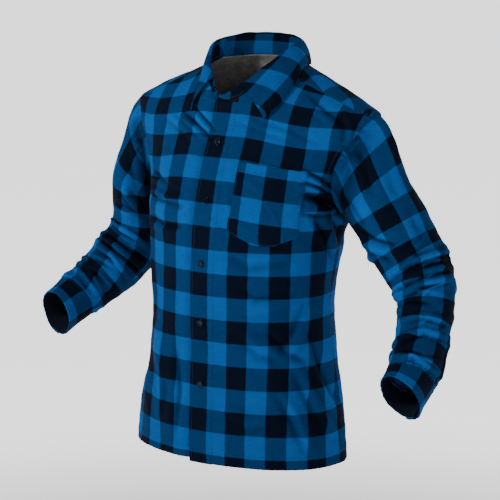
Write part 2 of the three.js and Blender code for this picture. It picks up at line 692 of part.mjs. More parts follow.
function yokeGrid() {
  const columns = yokeColumns();
  const cellAt = (column, signedRise, neckHalf) => {
    const angle = columnAngle(column, signedRise, neckHalf);
    const atEdge = column.armShare === 1;
    const normal = atEdge ? mitreNormal(Math.sign(angle), signedRise) : upperNormal(angle, signedRise);
    return { point: upperPoint(angle, signedRise), normal };
  };
  const backRow = (share) => columns.map((column) => {
    const seam = columnSeamRise(column);
    const around = 180 - THREE.MathUtils.radToDeg(Math.asin(Math.abs(column.neckShare)));
    const top = column.armShare > 0 ? 90 : neckRise(around);
    return cellAt(column, lerp(seam - RISE_GAP, top, share), NECK_HALF_WIDTH);
  });
  const frontRow = (share) => columns.map((column) => {
    const signedRise = lerp(90, SHOULDER_SEAM_RISE + RISE_GAP, share);
    return cellAt(column, signedRise, neckAcross(signedRise));
  });
  return [
    ...steps(YOKE_BACK_ROWS).map(backRow),
    ...steps(YOKE_FRONT_ROWS).slice(1).map(frontRow),
  ];
}

const overNeck = (column) => column >= YOKE_SIDE_COLUMNS && column < YOKE_SIDE_COLUMNS + YOKE_NECK_COLUMNS;
const yokeHas = (row, column) => row < YOKE_BACK_ROWS || !overNeck(column);

addPiece("yoke", shellGeometry(flipped(yokeGrid()), -HALF_WALL, HALF_WALL, {
  has: (row, column) => yokeHas(row, 2 * YOKE_SIDE_COLUMNS + YOKE_NECK_COLUMNS - 1 - column),
}));

// Lining: the charcoal inner yoke, hung a little inside the back

const LINING = { sideColumns: 2, backRows: 2 };

/** The lining's points are those of the yoke and the top of the back. */
function liningGrid() {
  const first = YOKE_SIDE_COLUMNS - LINING.sideColumns;
  const last = YOKE_SIDE_COLUMNS + YOKE_NECK_COLUMNS + LINING.sideColumns;
  const back = backPanel().slice(-LINING.backRows - 1, -1);
  const yoke = flipped(yokeGrid()).slice(0, YOKE_BACK_ROWS + 1);
  return [...back, ...yoke].map((row) => row.slice(first, last + 1));
}

addPiece("back_lining", shellGeometry(liningGrid(), -LINING_DEPTH - LINING_WALL, -LINING_DEPTH), CHARCOAL);

// Collar

const STAND_COLUMNS = 30;
const STAND_ROWS = 2;
const LEAF_COLUMNS = 32;
const LEAF_ROWS = 5;
const STAND_LIFT = WALL / 2 + SEAM_GAP + 0.5;
const STAND_END = 12;
const STAND_LAST = 360 - STAND_END - 4;
const STAND_ROUNDING = { start: -2, outer: 28, inner: 22 };
const STAND_LEAN = { side: 0.2, all: 0.15, front: 0.32 };
const LEAF_ROLL = { up: 7, out: 6 };
const LEAF_FALL = { up: 16, out: 3 };

/** Direction in which the stand rises from the neckline at an angle round the neck. */
function standDirection(angle) {
  const turn = radians(angle);
  const ahead = STAND_LEAN.all + STAND_LEAN.front * Math.cos(turn);
  return vector(STAND_LEAN.side * Math.sin(turn), ahead, 1).normalize();
}

/** Height of the stand, which is rounded off towards its two ends at the front. */
function standHeight(angle) {
  const full = lerp(STAND_HEIGHT.front, STAND_HEIGHT.back, (1 - Math.cos(radians(angle))) / 2);
  const { start, outer, inner } = STAND_ROUNDING;
  const outerEnd = lerp(STAND_HEIGHT.outerEnd, 1, smooth(angle + STAND_END, start, outer));
  const innerEnd = lerp(STAND_HEIGHT.innerEnd, 1, smooth(STAND_LAST - angle, start, inner));
  return full * Math.min(outerEnd, innerEnd);
}

function standPoint(angle, part) {
  return neckPoint(angle)
    .addScaledVector(vector(0, 0, 1), STAND_LIFT)
    .addScaledVector(standDirection(angle), part * standHeight(angle));
}

/** Level direction out of the neck at an angle round it. */
function neckOutward(angle) {
  const before = standPoint(angle - 2, 0.5);
  const after = standPoint(angle + 2, 0.5);
  return after.sub(before).cross(standDirection(angle)).normalize();
}

function standGrid() {
  const angles = steps(STAND_COLUMNS).map((share) => lerp(-STAND_END, STAND_LAST, share));
  return steps(STAND_ROWS).map((part) => angles.map((angle) => {
    return { point: standPoint(angle, part), normal: neckOutward(angle) };
  }));
}

addPiece("collar_stand", shellGeometry(standGrid(), -STAND_WALL / 2, STAND_WALL / 2));

/** Point on the lower edge of the collar leaf, just clear of the body. */
function leafEdge(angle) {
  const isRight = angle > 180;
  const turned = isRight ? 360 - angle : angle;
  const table = isRight ? LEAF_EDGE.right : LEAF_EDGE.left;
  const across = fromTable(table, turned, "across") * (isRight ? -1 : 1);
  const rise = fromTable(table, turned, "rise");
  const place = angleAcross(across, rise);
  return upperPoint(place, rise).addScaledVector(upperNormal(place, rise), LEAF_CLEARANCE);
}

/** Point of the leaf: it rolls over the top of the stand and falls to its lower edge. */
function leafPoint(angle, part) {
  const out = neckOutward(angle);
  const top = standPoint(angle, 1);
  const up = vector(0, 0, 1);
  const start = top.clone().addScaledVector(up, LEAF_WALL / 2 + SEAM_GAP + 0.6);
  const crest = top.clone().addScaledVector(up, LEAF_ROLL.up).addScaledVector(out, LEAF_ROLL.out);
  const end = leafEdge(angle);
  const above = end.clone().addScaledVector(up, LEAF_FALL.up).addScaledVector(out, LEAF_FALL.out);
  return new THREE.CubicBezierCurve3(start, crest, above, end).getPoint(part);
}

function leafGrid() {
  const angles = steps(LEAF_COLUMNS).map((share) => lerp(LEAF_FRONT.left, 360 - LEAF_FRONT.right, share));
  return steps(LEAF_ROWS).map((part) => angles.map((angle) => {
    const alongAngle = leafPoint(angle + 1, part).sub(leafPoint(angle - 1, part));
    const lower = leafPoint(angle, Math.min(part + 0.02, 1));
    const alongPart = lower.sub(leafPoint(angle, Math.max(part - 0.02, 0)));
    return { point: leafPoint(angle, part), normal: alongPart.cross(alongAngle).normalize() };
  }));
}

addPiece("collar_leaf", shellGeometry(flipped(leafGrid()), -LEAF_WALL / 2, LEAF_WALL / 2));

// Pocket

const POCKET_COLUMNS = 6;

function pocketGrid() {
  const rows = POCKET_ROWS.map((row) => ({ ...row, at: row.down })).reverse();
  return rows.map((row) => steps(POCKET_COLUMNS).map((share) => {
    const x = lerp(row.nearX, row.farX, share);
    const height = lerp(row.nearZ, row.farZ, share);
    return { point: frontPoint(x, height), normal: frontNormal(x, height) };
  }));
}

addPiece(
  "pocket",
  shellGeometry(pocketGrid(), POCKET_LIFT, POCKET_LIFT + POCKET_WALL),
);

// Buttons

/** A disc with a raised rim and a dished middle, on the Z axis with its back at zero. */
function buttonGeometry() {
  const { radius, thickness, rim } = BUTTON;
  const profile = [
    [0, 0], [radius - rim, 0], [radius, thickness * 0.4], [radius - rim, thickness],
    [radius * 0.62, thickness * 0.72], [0, thickness * 0.66],
  ];
  return new THREE.LatheGeometry(profile.map(([r, z]) => new THREE.Vector2(r, z)), 12).rotateX(Math.PI / 2);
}

function addButton(name, point, normal, lift) {
  const button = addPiece(name, buttonGeometry(), NAVY, 0.25);
  button.position.copy(point).addScaledVector(normal, lift);
  button.quaternion.setFromUnitVectors(vector(0, 0, 1), normal);
}

const PLACKET_SEAT = PLACKET_PROUD + PLACKET_WALL / 2 + SEAM_GAP * 2;
PLACKET_BUTTON_HEIGHTS.forEach((height, index) => {
  const seat = frontPoint(PLACKET_MIDDLE, height);
  addButton(`button_${index + 1}`, seat, frontNormal(PLACKET_MIDDLE, height), PLACKET_SEAT);
});

const COLLAR_BUTTON_ANGLE = 338;
addButton(
  "button_collar",
  standPoint(COLLAR_BUTTON_ANGLE, 0.5),
  neckOutward(COLLAR_BUTTON_ANGLE),
  STAND_WALL / 2 + SEAM_GAP * 2,
);

for (const name of Object.keys(SIDES)) {
  const { frames } = SLEEVES[name];
  const end = name === "left" ? LEFT_CUFF_END : RIGHT_CUFF_END;
  const last = frames[frames.length - 1];
  const finish = cuffEndFrame(last, end);
  const share = CUFF_START + CUFF.lap / 2;
  const out = CUFF.wall * 1.5 + 3 * CUFF.layerGap;
  const seat = ringPoint(last, share, out).lerp(ringPoint(finish, share, out), 0.5);
  const normal = ringPoint(last, share).sub(last.centre).normalize();
  addButton(`button_cuff_${name}`, seat, normal, 0);
}

export default shirt;
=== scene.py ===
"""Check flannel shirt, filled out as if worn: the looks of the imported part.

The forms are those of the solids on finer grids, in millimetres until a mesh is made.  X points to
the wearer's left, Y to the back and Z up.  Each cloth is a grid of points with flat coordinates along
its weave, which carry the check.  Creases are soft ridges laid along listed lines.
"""

import math

import bpy
import numpy as np
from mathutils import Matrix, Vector


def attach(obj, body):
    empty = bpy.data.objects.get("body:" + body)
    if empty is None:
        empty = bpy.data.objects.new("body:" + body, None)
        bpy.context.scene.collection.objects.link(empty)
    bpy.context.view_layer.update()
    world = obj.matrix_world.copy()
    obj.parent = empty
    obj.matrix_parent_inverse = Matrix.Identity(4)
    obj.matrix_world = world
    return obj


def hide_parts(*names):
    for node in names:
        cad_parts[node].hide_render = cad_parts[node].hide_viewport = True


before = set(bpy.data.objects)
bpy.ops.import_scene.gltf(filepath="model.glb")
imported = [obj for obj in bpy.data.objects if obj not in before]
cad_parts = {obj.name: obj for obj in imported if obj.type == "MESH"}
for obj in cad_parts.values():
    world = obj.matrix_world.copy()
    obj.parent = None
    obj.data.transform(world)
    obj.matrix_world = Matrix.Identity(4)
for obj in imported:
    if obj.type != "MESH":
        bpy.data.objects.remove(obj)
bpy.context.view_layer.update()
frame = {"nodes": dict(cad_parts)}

MM = 0.001

# Driving sizes, the same as the part's

WALL = 1.6
HALF_WALL = WALL / 2
SEAM_GAP = 0.3
UNDERARM = -272
NECK_HALF_WIDTH = 80
NECK_ARCH = 20
SHOULDER_HALF_WIDTH = 266
SHOULDER_DROP = 84
FRONT_NECK_RISE = 44.6
BACK_NECK_RISE = 70.4
SHOULDER_SEAM_RISE = 74
YOKE_SEAM = (36, 50)
HEM_LEFT = -736
HEM_RIGHT = -731
HEM_BACK = -734
PLACKET_RIGHT = -22
PLACKET_LEFT = 28
PLACKET_MIDDLE = (PLACKET_LEFT + PLACKET_RIGHT) / 2
PLACKET_PROUD = 0.5
PLACKET_WALL = 2.4
UNDERLAP = {"edge": 14, "start": -44, "end": -26, "depth": 2.9}
LINING_DEPTH = 1.6
LINING_WALL = 1
STAND_WALL = 2.2
STAND_FRONT = 22
STAND_BACK = 38
STAND_OUTER_END = 0.2
STAND_INNER_END = 0.45
STAND_END = 12
STAND_LAST = 360 - STAND_END - 4
COLLAR_BUTTON_ANGLE = 338.0
STAND_LIFT = 1.6
LEAF_WALL = 2
LEAF_FRONT_LEFT = 14
LEAF_FRONT_RIGHT = 29
LEAF_CLEARANCE = 4.5
POCKET_LIFT = 2.4
CUFF_WALL = 2.4
CUFF_LAP = 0.08
CUFF_START = 0.72
BUTTON_HEIGHTS = (-141, -246, -361, -471, -587)
LOWER_POWER = 2.15

CHECK_ACROSS = 39.3
CHECK_UP = 42.6
CHECK_START_ACROSS = 22
CHECK_START_UP = 420


def columns(names, rows):
    """A table with named columns."""
    return dict(zip(names.split(), np.array(rows, float).T))


LOWER = columns("at half centre front back side", [
    (-744, 217, -51, 138, 131, 103),
    (-690, 214, -52, 138, 133, 103),
    (-630, 203, -50, 139, 136, 102),
    (-570, 191, -48, 139, 138, 101),
    (-515, 184, -47, 139, 138, 100),
    (-460, 181, -46, 139, 138, 99),
    (-390, 186, -42, 141, 136, 97),
    (-325, 195, -34, 145, 130, 94),
    (-272, 204, -25, 147, 122, 90),
])
UPPER = columns("at half centre front back front_edge back_edge power", [
    (0, 204, -25, 147, 122, 90, 90, 2.15),
    (9, 204, -24, 137, 124, 81, 80, 2.15),
    (18, 212, -22, 126, 124, 74, 74, 2.15),
    (27, 224, -19, 110, 120, 71, 72, 2.2),
    (36, 236, -15, 99, 113, 71, 73, 2.35),
    (45, 246, -10, 92, 104, 73, 76, 2.6),
    (60, 257, -5, 67, 86, 78, 81, 3),
    (75, 264, -2, 35, 52, 84, 86, 3.4),
    (90, 266, 0, 0, 0, 90, 90, 3.4),
])
SLEEVE_NAMES = "x y z wide deep"
LEFT_SLEEVE = columns(SLEEVE_NAMES, [
    (280, -5, -252, 69, 63),
    (301, 1, -286, 67, 65),
    (326, 5, -326, 64, 64),
    (351, 8, -363, 61, 61),
    (367, 2, -391, 56, 56),
    (377, -9, -420, 50, 51),
    (386, -27, -453, 49, 49),
    (394, -49, -486, 48, 48),
    (400, -77, -519, 47, 47),
    (402, -98, -538, 45, 45),
])
RIGHT_SLEEVE = columns(SLEEVE_NAMES, [
    (-265, 2, -254, 57, 72),
    (-272, 10, -282, 58, 71),
    (-280, 18, -316, 58, 69),
    (-291, 19, -356, 59, 66),
    (-308, 4, -388, 57, 60),
    (-327, -19, -420, 55, 56),
    (-345, -46, -448, 50, 51),
    (-360, -74, -467, 47, 47),
    (-366, -94, -479, 45, 45),
])
CUFF_ENDS = {
    "left": {"centre": (407, -141, -564), "wide": 45, "deep": 45, "ahead": (-0.19, -0.88, -0.43)},
    "right": {"centre": (-376, -145, -505), "wide": 43, "deep": 43, "ahead": (-0.29, -0.93, -0.2)},
}

# Rings of cloth pushed up on the sleeves: place along, height, half length, slant, angle of the top
SLEEVE_FOLDS = {
    "left": [
        (0.47, 5.5, 0.022, 0.03, 300), (0.54, 5, 0.02, -0.03, 60), (0.62, 4, 0.02, 0.02, 290),
        (0.79, 3, 0.018, 0.02, 40), (0.9, 4, 0.02, -0.02, 90),
    ],
    "right": [
        (0.45, 5, 0.022, -0.03, 90), (0.53, 5.5, 0.02, 0.03, 100), (0.62, 4, 0.02, -0.02, 180),
        (0.72, 4, 0.018, 0.03, 150), (0.83, 4, 0.018, -0.02, 120),
    ],
}
LEAF_NAMES = "at across rise"
LEAF_EDGE_LEFT = columns(LEAF_NAMES, [
    (14, 88, 41), (21, 97, 45.5), (29, 106, 50), (39, 112, 55), (52, 117, 61), (66, 118, 68),
    (80, 114, 78), (95, 105, 90), (120, 92, 101), (150, 54, 113), (180, 0, 116),
])
LEAF_EDGE_RIGHT = columns(LEAF_NAMES, [
    (29, 75, 40.5), (34, 73, 46), (42, 71, 52), (52, 72, 60), (64, 80, 70), (78, 90, 82),
    (95, 97, 93), (120, 92, 101), (150, 54, 113), (180, 0, 116),
])
POCKET = columns("at near_x near_z far_x far_z", [
    (0, 59, -173, 176, -187),
    (0.25, 58, -204, 174, -217),
    (0.5, 57, -235, 170, -247),
    (0.75, 56, -266, 168, -277),
    (0.9, 55, -296, 167, -304),
    (0.95, 79, -308, 151, -312),
    (1, 104, -320, 135, -320),
])

# Creases that show in the view from the front and the wearer's left: height in millimetres, half
# width, and the line, both in 500ths of that view's width from its upper left corner.  A trough lies
# beside each ridge.
FRONT_CREASES = [
    (-7.0, 2.2, [(181, 110), (196, 124), (214, 142)]),
    (-6.0, 2.0, [(194, 106), (204, 119), (216, 133)]),
    (4.0, 3.2, [(168, 114), (180, 124), (196, 142)]),
    (-16.0, 4.0, [(300, 193), (320, 201), (352, 206)]),
    (-14.0, 5.0, [(318, 205), (336, 210), (354, 216)]),
    (-9.0, 2.7, [(302, 169), (320, 179), (342, 194)]),
    (-7.5, 2.34, [(302, 182), (318, 187), (338, 198)]),
    (7.5, 2.7, [(298, 208), (318, 212), (340, 210)]),
    (-9.0, 4.05, [(326, 208), (336, 226), (342, 250)]),
    (-6.0, 3.6, [(312, 216), (324, 236), (332, 262)]),
    (8.5, 5.0, [(298, 368), (314, 400), (334, 440)]),
    (-8.0, 4.5, [(308, 330), (322, 370), (342, 412)]),
    (7.0, 5.0, [(278, 388), (298, 420), (314, 458)]),
    (-6.0, 5.0, [(264, 330), (284, 352), (310, 366)]),
    (6.0, 5.0, [(312, 300), (300, 334), (284, 362)]),
    (5.2, 4.5, [(156, 320), (162, 372), (158, 424)]),
    (-5.2, 4.5, [(172, 330), (179, 390), (174, 444)]),
    (-4.5, 4.5, [(150, 250), (156, 300), (154, 350)]),
    (5.0, 6.3, [(222, 244), (250, 260), (292, 256)]),
    (4.5, 5.4, [(236, 326), (262, 350), (292, 354)]),
    (3.9, 5.4, [(220, 408), (250, 424), (282, 418)]),
    (-3.9, 5.4, [(232, 286), (256, 300), (300, 296)]),
    (-6.8, 3.24, [(138, 146), (150, 168), (170, 186)]),
    (6.0, 3.24, [(141, 178), (160, 194), (186, 202)]),
    (-5.1, 3.42, [(146, 212), (164, 224), (184, 228)]),
    (1.6, 3.4, [(232, 116), (262, 128), (302, 138)]),
    (-5.2, 3.6, [(306, 94), (326, 112), (344, 126)]),
    (5.2, 3.6, [(338, 106), (350, 124), (348, 150)]),
    (-1.6, 3.6, [(262, 124), (290, 132), (322, 148)]),
]

# Creases of the back: height and half width in millimetres, and the line in millimetres across and up
BACK_CREASES = [
    (5.6, 12, [(-190, -250), (-130, -290), (-60, -310)]),
    (-4.8, 10, [(-196, -282), (-140, -330), (-84, -360)]),
    (5.6, 12, [(192, -244), (120, -280), (52, -292)]),
    (-4.8, 10, [(198, -290), (150, -344), (96, -380)]),
    (4.8, 14, [(-110, -420), (-40, -452), (60, -440)]),
    (-4.0, 12, [(-60, -500), (20, -524), (120, -500)]),
    (4.2, 12, [(-150, -560), (-90, -640), (-70, -720)]),
    (3.8, 12, [(140, -540), (110, -620), (118, -710)]),
    (-3.8, 12, [(20, -560), (36, -640), (24, -720)]),
    (3.2, 9, [(-130, -130), (-60, -168), (20, -172)]),
    (-3.2, 9, [(150, -140), (90, -176), (40, -182)]),
]

# Creases of the sleeves in the same view and units as the front's
LEFT_SLEEVE_CREASES = [
    (9.0, 2.6, [(386, 278), (408, 263), (430, 256), (456, 250)]),
    (8.2, 2.6, [(392, 290), (420, 273), (444, 268), (458, 270)]),
    (6.0, 2.2, [(414, 268), (432, 260), (452, 258)]),
    (6.8, 2.4, [(396, 300), (420, 284), (452, 278)]),
    (6.0, 2.6, [(396, 322), (424, 315), (454, 324)]),
    (6.8, 2.6, [(392, 340), (424, 330), (452, 340)]),
    (-6.0, 2.4, [(388, 352), (410, 352), (446, 360)]),
    (6.8, 2.6, [(384, 370), (412, 356), (442, 378)]),
    (-5.2, 2.6, [(392, 308), (412, 302), (436, 304)]),
    (-5.0, 4.0, [(340, 196), (352, 206), (366, 228)]),
    (3.5, 5.0, [(352, 196), (364, 216), (382, 244)]),
    (-8.0, 4.0, [(350, 226), (372, 240), (398, 246)]),
    (5.0, 4.0, [(362, 244), (382, 252), (402, 256)]),
    (-3.0, 4.5, [(356, 150), (366, 176), (372, 204)]),
    (3.0, 5.5, [(390, 146), (400, 184), (414, 220)]),
    (-3.0, 5.0, [(402, 190), (414, 226), (434, 248)]),
]
RIGHT_SLEEVE_CREASES = [
    (7.0, 2.3, [(110, 220), (128, 233), (152, 247)]),
    (7.0, 2.2, [(106, 228), (126, 243), (150, 259)]),
    (7.7, 2.4, [(100, 235), (120, 250), (146, 271)]),
    (6.3, 2.2, [(92, 242), (112, 256), (130, 279)]),
    (5.6, 2.1, [(84, 252), (102, 259), (120, 270)]),
    (6.3, 2.2, [(80, 261), (98, 270), (114, 289)]),
    (6.3, 2.2, [(70, 265), (84, 276), (98, 294)]),
    (5.6, 2.2, [(62, 272), (76, 284), (89, 308)]),
    (-5.6, 2.6, [(116, 204), (134, 213), (152, 221)]),
    (-4.9, 2.8, [(120, 178), (132, 196), (150, 208)]),
    (4.9, 3.2, [(131, 146), (138, 176), (148, 206)]),
    (-5.6, 2.8, [(139, 136), (144, 166), (152, 192)]),
    (4.5, 3, [(120, 166), (127, 196), (142, 216)]),
]


# The body's form


def lerp(start, end, share):
    return start + (end - start) * share


def bezier(start, first, second, end, t):
    """Point at a share of the curve that four points draw."""
    return ((1 - t) ** 3 * start + 3 * (1 - t) ** 2 * t * first
            + 3 * (1 - t) * t ** 2 * second + t ** 3 * end)


def round_turns(count):
    """Angles spread evenly round a circle, in radians."""
    return np.arange(count) * 2 * np.pi / count


def from_table(table, at, name):
    """Smooth values of a column at places on the table's first column."""
    places, values = table["at"], table[name]
    place = np.clip(at, places[0], places[-1])
    low = np.clip(np.searchsorted(places, place, side="right") - 1, 0, len(places) - 2)
    before = np.maximum(np.arange(len(places)) - 1, 0)
    after = np.minimum(np.arange(len(places)) + 1, len(places) - 1)
    slopes = (values[after] - values[before]) / (places[after] - places[before])
    span = places[low + 1] - places[low]
    t = (place - places[low]) / span
    return ((2 * t ** 3 - 3 * t ** 2 + 1) * values[low]
            + (t ** 3 - 2 * t ** 2 + t) * slopes[low] * span
            + (-2 * t ** 3 + 3 * t ** 2) * values[low + 1]
            + (t ** 3 - t ** 2) * slopes[low + 1] * span)


def smooth(value, low, high):
    t = np.clip((value - low) / (high - low), 0, 1)
    return t * t * (3 - 2 * t)


def stack(x, y, z):
    return np.stack(np.broadcast_arrays(x, y, z), axis=-1).astype(float)


def unit(vectors):
    return vectors / np.maximum(np.linalg.norm(vectors, axis=-1, keepdims=True), 1e-9)


def signed_power(value, power):
    return np.sign(value) * np.abs(value) ** power


def ridge_height(x):
    """Height of the shoulder ridge at a distance across."""
    across = np.abs(x)
    arch = NECK_ARCH * (1 - (across / NECK_HALF_WIDTH) ** 2)
    slope = -SHOULDER_DROP * (across - NECK_HALF_WIDTH) / (SHOULDER_HALF_WIDTH - NECK_HALF_WIDTH)
    return np.where(across < NECK_HALF_WIDTH, arch, slope)


def lower_point(angle, height):
    """Points on the level sections; the angle runs from the centre front, left side positive."""
    cosine, sine = np.cos(np.radians(angle)), np.sin(np.radians(angle))
    depth = np.where(cosine >= 0, from_table(LOWER, height, "front"), from_table(LOWER, height, "back"))
    x = from_table(LOWER, height, "half") * signed_power(sine, 2 / LOWER_POWER)
    y = from_table(LOWER, height, "centre") - depth * signed_power(cosine, 2 / LOWER_POWER)
    return stack(x, y, height)


def upper_point(angle, signed_rise):
    """Points above the underarm, on the front for a rise up to 90 and on the back past it."""
    is_back = np.asarray(signed_rise) > 90
    rise = np.where(is_back, 180 - signed_rise, signed_rise)
    depth = np.where(is_back, from_table(UPPER, rise, "back"), from_table(UPPER, rise, "front"))
    power = 2 / from_table(UPPER, rise, "power")
    x = from_table(UPPER, rise, "half") * signed_power(np.sin(np.radians(angle)), power)
    reach = depth * signed_power(np.cos(np.radians(angle)), power)
    y = from_table(UPPER, rise, "centre") + np.where(is_back, reach, -reach)
    z = UNDERARM + (ridge_height(x) - UNDERARM) * np.sin(np.radians(rise))
    return stack(x, y, z)


def angle_across(x, signed_rise):
    """Angle at which the section of a rise reaches a distance across."""
    rise = np.where(np.asarray(signed_rise) > 90, 180 - signed_rise, signed_rise)
    share = np.clip(np.abs(x) / from_table(UPPER, rise, "half"), 0, 1)
    sine = share ** (from_table(UPPER, rise, "power") / 2)
    return np.sign(x) * np.degrees(np.arcsin(sine))


def front_point(x, height):
    """Points of the front at a distance across and a height."""
    x, height = np.broadcast_arrays(np.asarray(x, float), np.asarray(height, float))
    share = np.clip((height - UNDERARM) / (ridge_height(x) - UNDERARM), 0, 1)
    rise = np.degrees(np.arcsin(share))
    upper = upper_point(angle_across(x, rise), rise)
    half = from_table(LOWER, height, "half")
    sine = np.clip(np.abs(x) / half, 0, 1) ** (LOWER_POWER / 2)
    lower = lower_point(np.sign(x) * np.degrees(np.arcsin(sine)), height)
    return np.where((height > UNDERARM)[..., None], upper, lower)


def surface_normals(surface, u, v, step_u, step_v):
    along_u = surface(u + step_u, v) - surface(u - step_u, v)
    along_v = surface(u, v + step_v) - surface(u, v - step_v)
    return unit(np.cross(along_u, along_v))


def upper_normals(angle, signed_rise):
    """Directions out of the upper body, kept off the ends of its sections."""
    return surface_normals(upper_point, np.clip(angle, -88, 88), np.clip(signed_rise, 2, 178), 0.5, 0.5)


def neck_across(signed_rise):
    """Distance across of the neckline at a signed rise."""
    is_back = np.asarray(signed_rise) > 90
    rise = np.where(is_back, 180 - signed_rise, signed_rise)
    lowest = np.where(is_back, BACK_NECK_RISE, FRONT_NECK_RISE)
    share = np.clip((90 - rise) / (90 - lowest), 0, 1)
    return NECK_HALF_WIDTH * np.sqrt(1 - share ** 2)


def neck_rise(angle):
    """Signed rise of the neckline at an angle round the neck from the centre front."""
    cosine = np.cos(np.radians(angle))
    return np.where(cosine >= 0, 90 - (90 - FRONT_NECK_RISE) * cosine, 90 - (90 - BACK_NECK_RISE) * cosine)


def neck_point(angle):
    across = NECK_HALF_WIDTH * np.sin(np.radians(angle))
    rise = neck_rise(angle)
    return upper_point(angle_across(across, rise), rise)


def armhole_angle(signed_rise):
    is_back = np.asarray(signed_rise) > 90
    rise = np.where(is_back, 180 - signed_rise, signed_rise)
    return np.where(is_back, from_table(UPPER, rise, "back_edge"), from_table(UPPER, rise, "front_edge"))


# The view from the front and the wearer's left, in which the creases that it shows are placed

VIEW_AZIMUTH = 35.0
VIEW_ELEVATION = 10.5
VIEW_DISTANCE = 4600
VIEW_FIELD = 935
VIEW_UNITS = 500
VIEW_TARGET = np.array([25.84, -61.36, -351.19])


def view_axes():
    turn, tilt = math.radians(VIEW_AZIMUTH), math.radians(VIEW_ELEVATION)
    back = np.array([math.sin(turn) * math.cos(tilt), -math.cos(turn) * math.cos(tilt), math.sin(tilt)])
    right = np.array([math.cos(turn), math.sin(turn), 0])
    return right, np.cross(back, right), back


def seen_at(points):
    """Where points show in the view, in its 500ths, right and down from its upper left corner."""
    right, up, back = view_axes()
    offset = points - VIEW_TARGET
    scale = VIEW_DISTANCE * VIEW_UNITS / VIEW_FIELD / (VIEW_DISTANCE - offset @ back)
    middle = VIEW_UNITS / 2
    return np.stack([middle + offset @ right * scale, middle - offset @ up * scale], axis=-1)


# Creases and softness

TROUGH_SHARE = 0.55
TROUGH_OFFSET = 1.6
TROUGH_WIDTH = 1.15
CREASE_FADE = 0.8
WRINKLE_WIDTH = 0.28
WRINKLE_PATCHES = (-0.2, 1.2)

# Shares of the view's direction, and of the back's, over which creases set in
SEEN_FACING = (0.02, 0.3)
BACK_FACING = (0.1, 0.5)

# Swells of each cloth: height, wave length and seed
SWELLS = {
    "body": [(1.3, 120, 3), (0.4, 38, 5)],
    "stand": [(0.5, 40, 21)],
    "leaf": [(0.7, 45, 31)],
    "sleeve": [(1.2, 90, 41)],
    "cuff": [(0.7, 46, 51)],
}


def crease(place, line, width, height):
    """Soft ridge along a line, with a trough beside it, fading out at both ends."""
    points = np.array(line, float)
    lengths = np.linalg.norm(np.diff(points, axis=0), axis=1)
    before = np.concatenate([[0], np.cumsum(lengths)])
    nearest = np.full(place.shape[:-1], np.inf)
    offset = np.zeros(place.shape[:-1])
    along = np.zeros(place.shape[:-1])
    for index, length in enumerate(lengths):
        step = points[index + 1] - points[index]
        from_start = place - points[index]
        t = np.clip(from_start @ step / length ** 2, 0, 1)
        gap = from_start - t[..., None] * step
        distance = np.hypot(gap[..., 0], gap[..., 1])
        side = np.sign(step[0] * gap[..., 1] - step[1] * gap[..., 0])
        closer = distance < nearest
        nearest = np.where(closer, distance, nearest)
        offset = np.where(closer, distance * side, offset)
        along = np.where(closer, (before[index] + t * length) / before[-1], along)
    fade = np.sin(np.pi * along) ** CREASE_FADE
    ridge = np.exp(-(offset / width) ** 2)
    trough = np.exp(-((offset / width - TROUGH_OFFSET) / TROUGH_WIDTH) ** 2)
    return height * fade * (ridge - TROUGH_SHARE * trough)


def creases(place, table):
    return sum((crease(place, line, width, height) for height, width, line in table),
               np.zeros(place.shape[:-1]))


def waves(points, length, seed, count=16):
    """Smooth uneven swell of about one millimetre, the same at the same place in space."""
    random = np.random.default_rng(seed)
    total = np.zeros(points.shape[:-1])
    for _ in range(count):
        direction = unit(random.normal(size=3))
        wave = length * random.uniform(0.7, 1.6)
        total += np.sin(points @ direction * 2 * np.pi / wave + random.uniform(0, 2 * np.pi))
    return total / math.sqrt(count)


def swells(points, cloth):
    return sum(height * waves(points, length, seed) for height, length, seed in SWELLS[cloth])


def wrinkles(points, length, seed):
    """Thin uneven ridges where a swell changes sign."""
    swell = waves(points, length, seed)
    place = waves(points, length * 3, seed + 1)
    return np.exp(-(swell / WRINKLE_WIDTH) ** 2) * smooth(place, *WRINKLE_PATCHES)


def body_height(points, normals):
    """Height of the creases and the swell on the body at points of its plain form."""
    facing = smooth(normals @ view_axes()[2], *SEEN_FACING)
    behind = smooth(normals[..., 1], *BACK_FACING)
    back_place = np.stack([points[..., 0], points[..., 2]], axis=-1)
    return (facing * creases(seen_at(points), FRONT_CREASES)
            + behind * creases(back_place, BACK_CREASES)
            + swells(points, "body")
            + 1.2 * wrinkles(points, 90, 8))


# Grids of cloth


def grid_normals(points, closed=False):
    """Directions out of a grid whose columns run to the right of someone looking at its outer face."""
    if closed:
        across = np.roll(points, -1, axis=1) - np.roll(points, 1, axis=1)
    else:
        across = np.gradient(points, axis=1)
    return unit(np.cross(across, np.gradient(points, axis=0)))


def arc_across(points):
    """Distance along each row, counted level."""
    step = np.hypot(np.diff(points[..., 0], axis=1), np.diff(points[..., 1], axis=1))
    return np.concatenate([np.zeros((len(points), 1)), np.cumsum(step, axis=1)], axis=1)


def arc_up(points):
    """Distance up each column, counted without its sideways part."""
    step = np.hypot(np.diff(points[..., 1], axis=0), np.diff(points[..., 2], axis=0))
    return np.concatenate([np.zeros((1, points.shape[1])), np.cumsum(step, axis=0)])


def arc_length(points):
    """Distance along each row in space."""
    step = np.linalg.norm(np.diff(points, axis=1), axis=-1)
    return np.concatenate([np.zeros((len(points), 1)), np.cumsum(step, axis=1)], axis=1)


def pucker(distance, along, reach=7, height=0.3):
    """Small ripples that a row of stitches draws up beside it."""
    ripple = np.sin(along / 2.1 + 2 * np.sin(along / 19)) + 0.6 * np.sin(along / 1.3 + 1)
    return height * np.exp(-(distance / reach) ** 2) * ripple


def graded(count, extra=(0.004, 0.01, 0.018)):
    """Shares from 0 to 1, closer together at both ends."""
    ends = [*extra, *(1 - share for share in extra)]
    return np.unique(np.concatenate([np.linspace(0, 1, count), ends]))
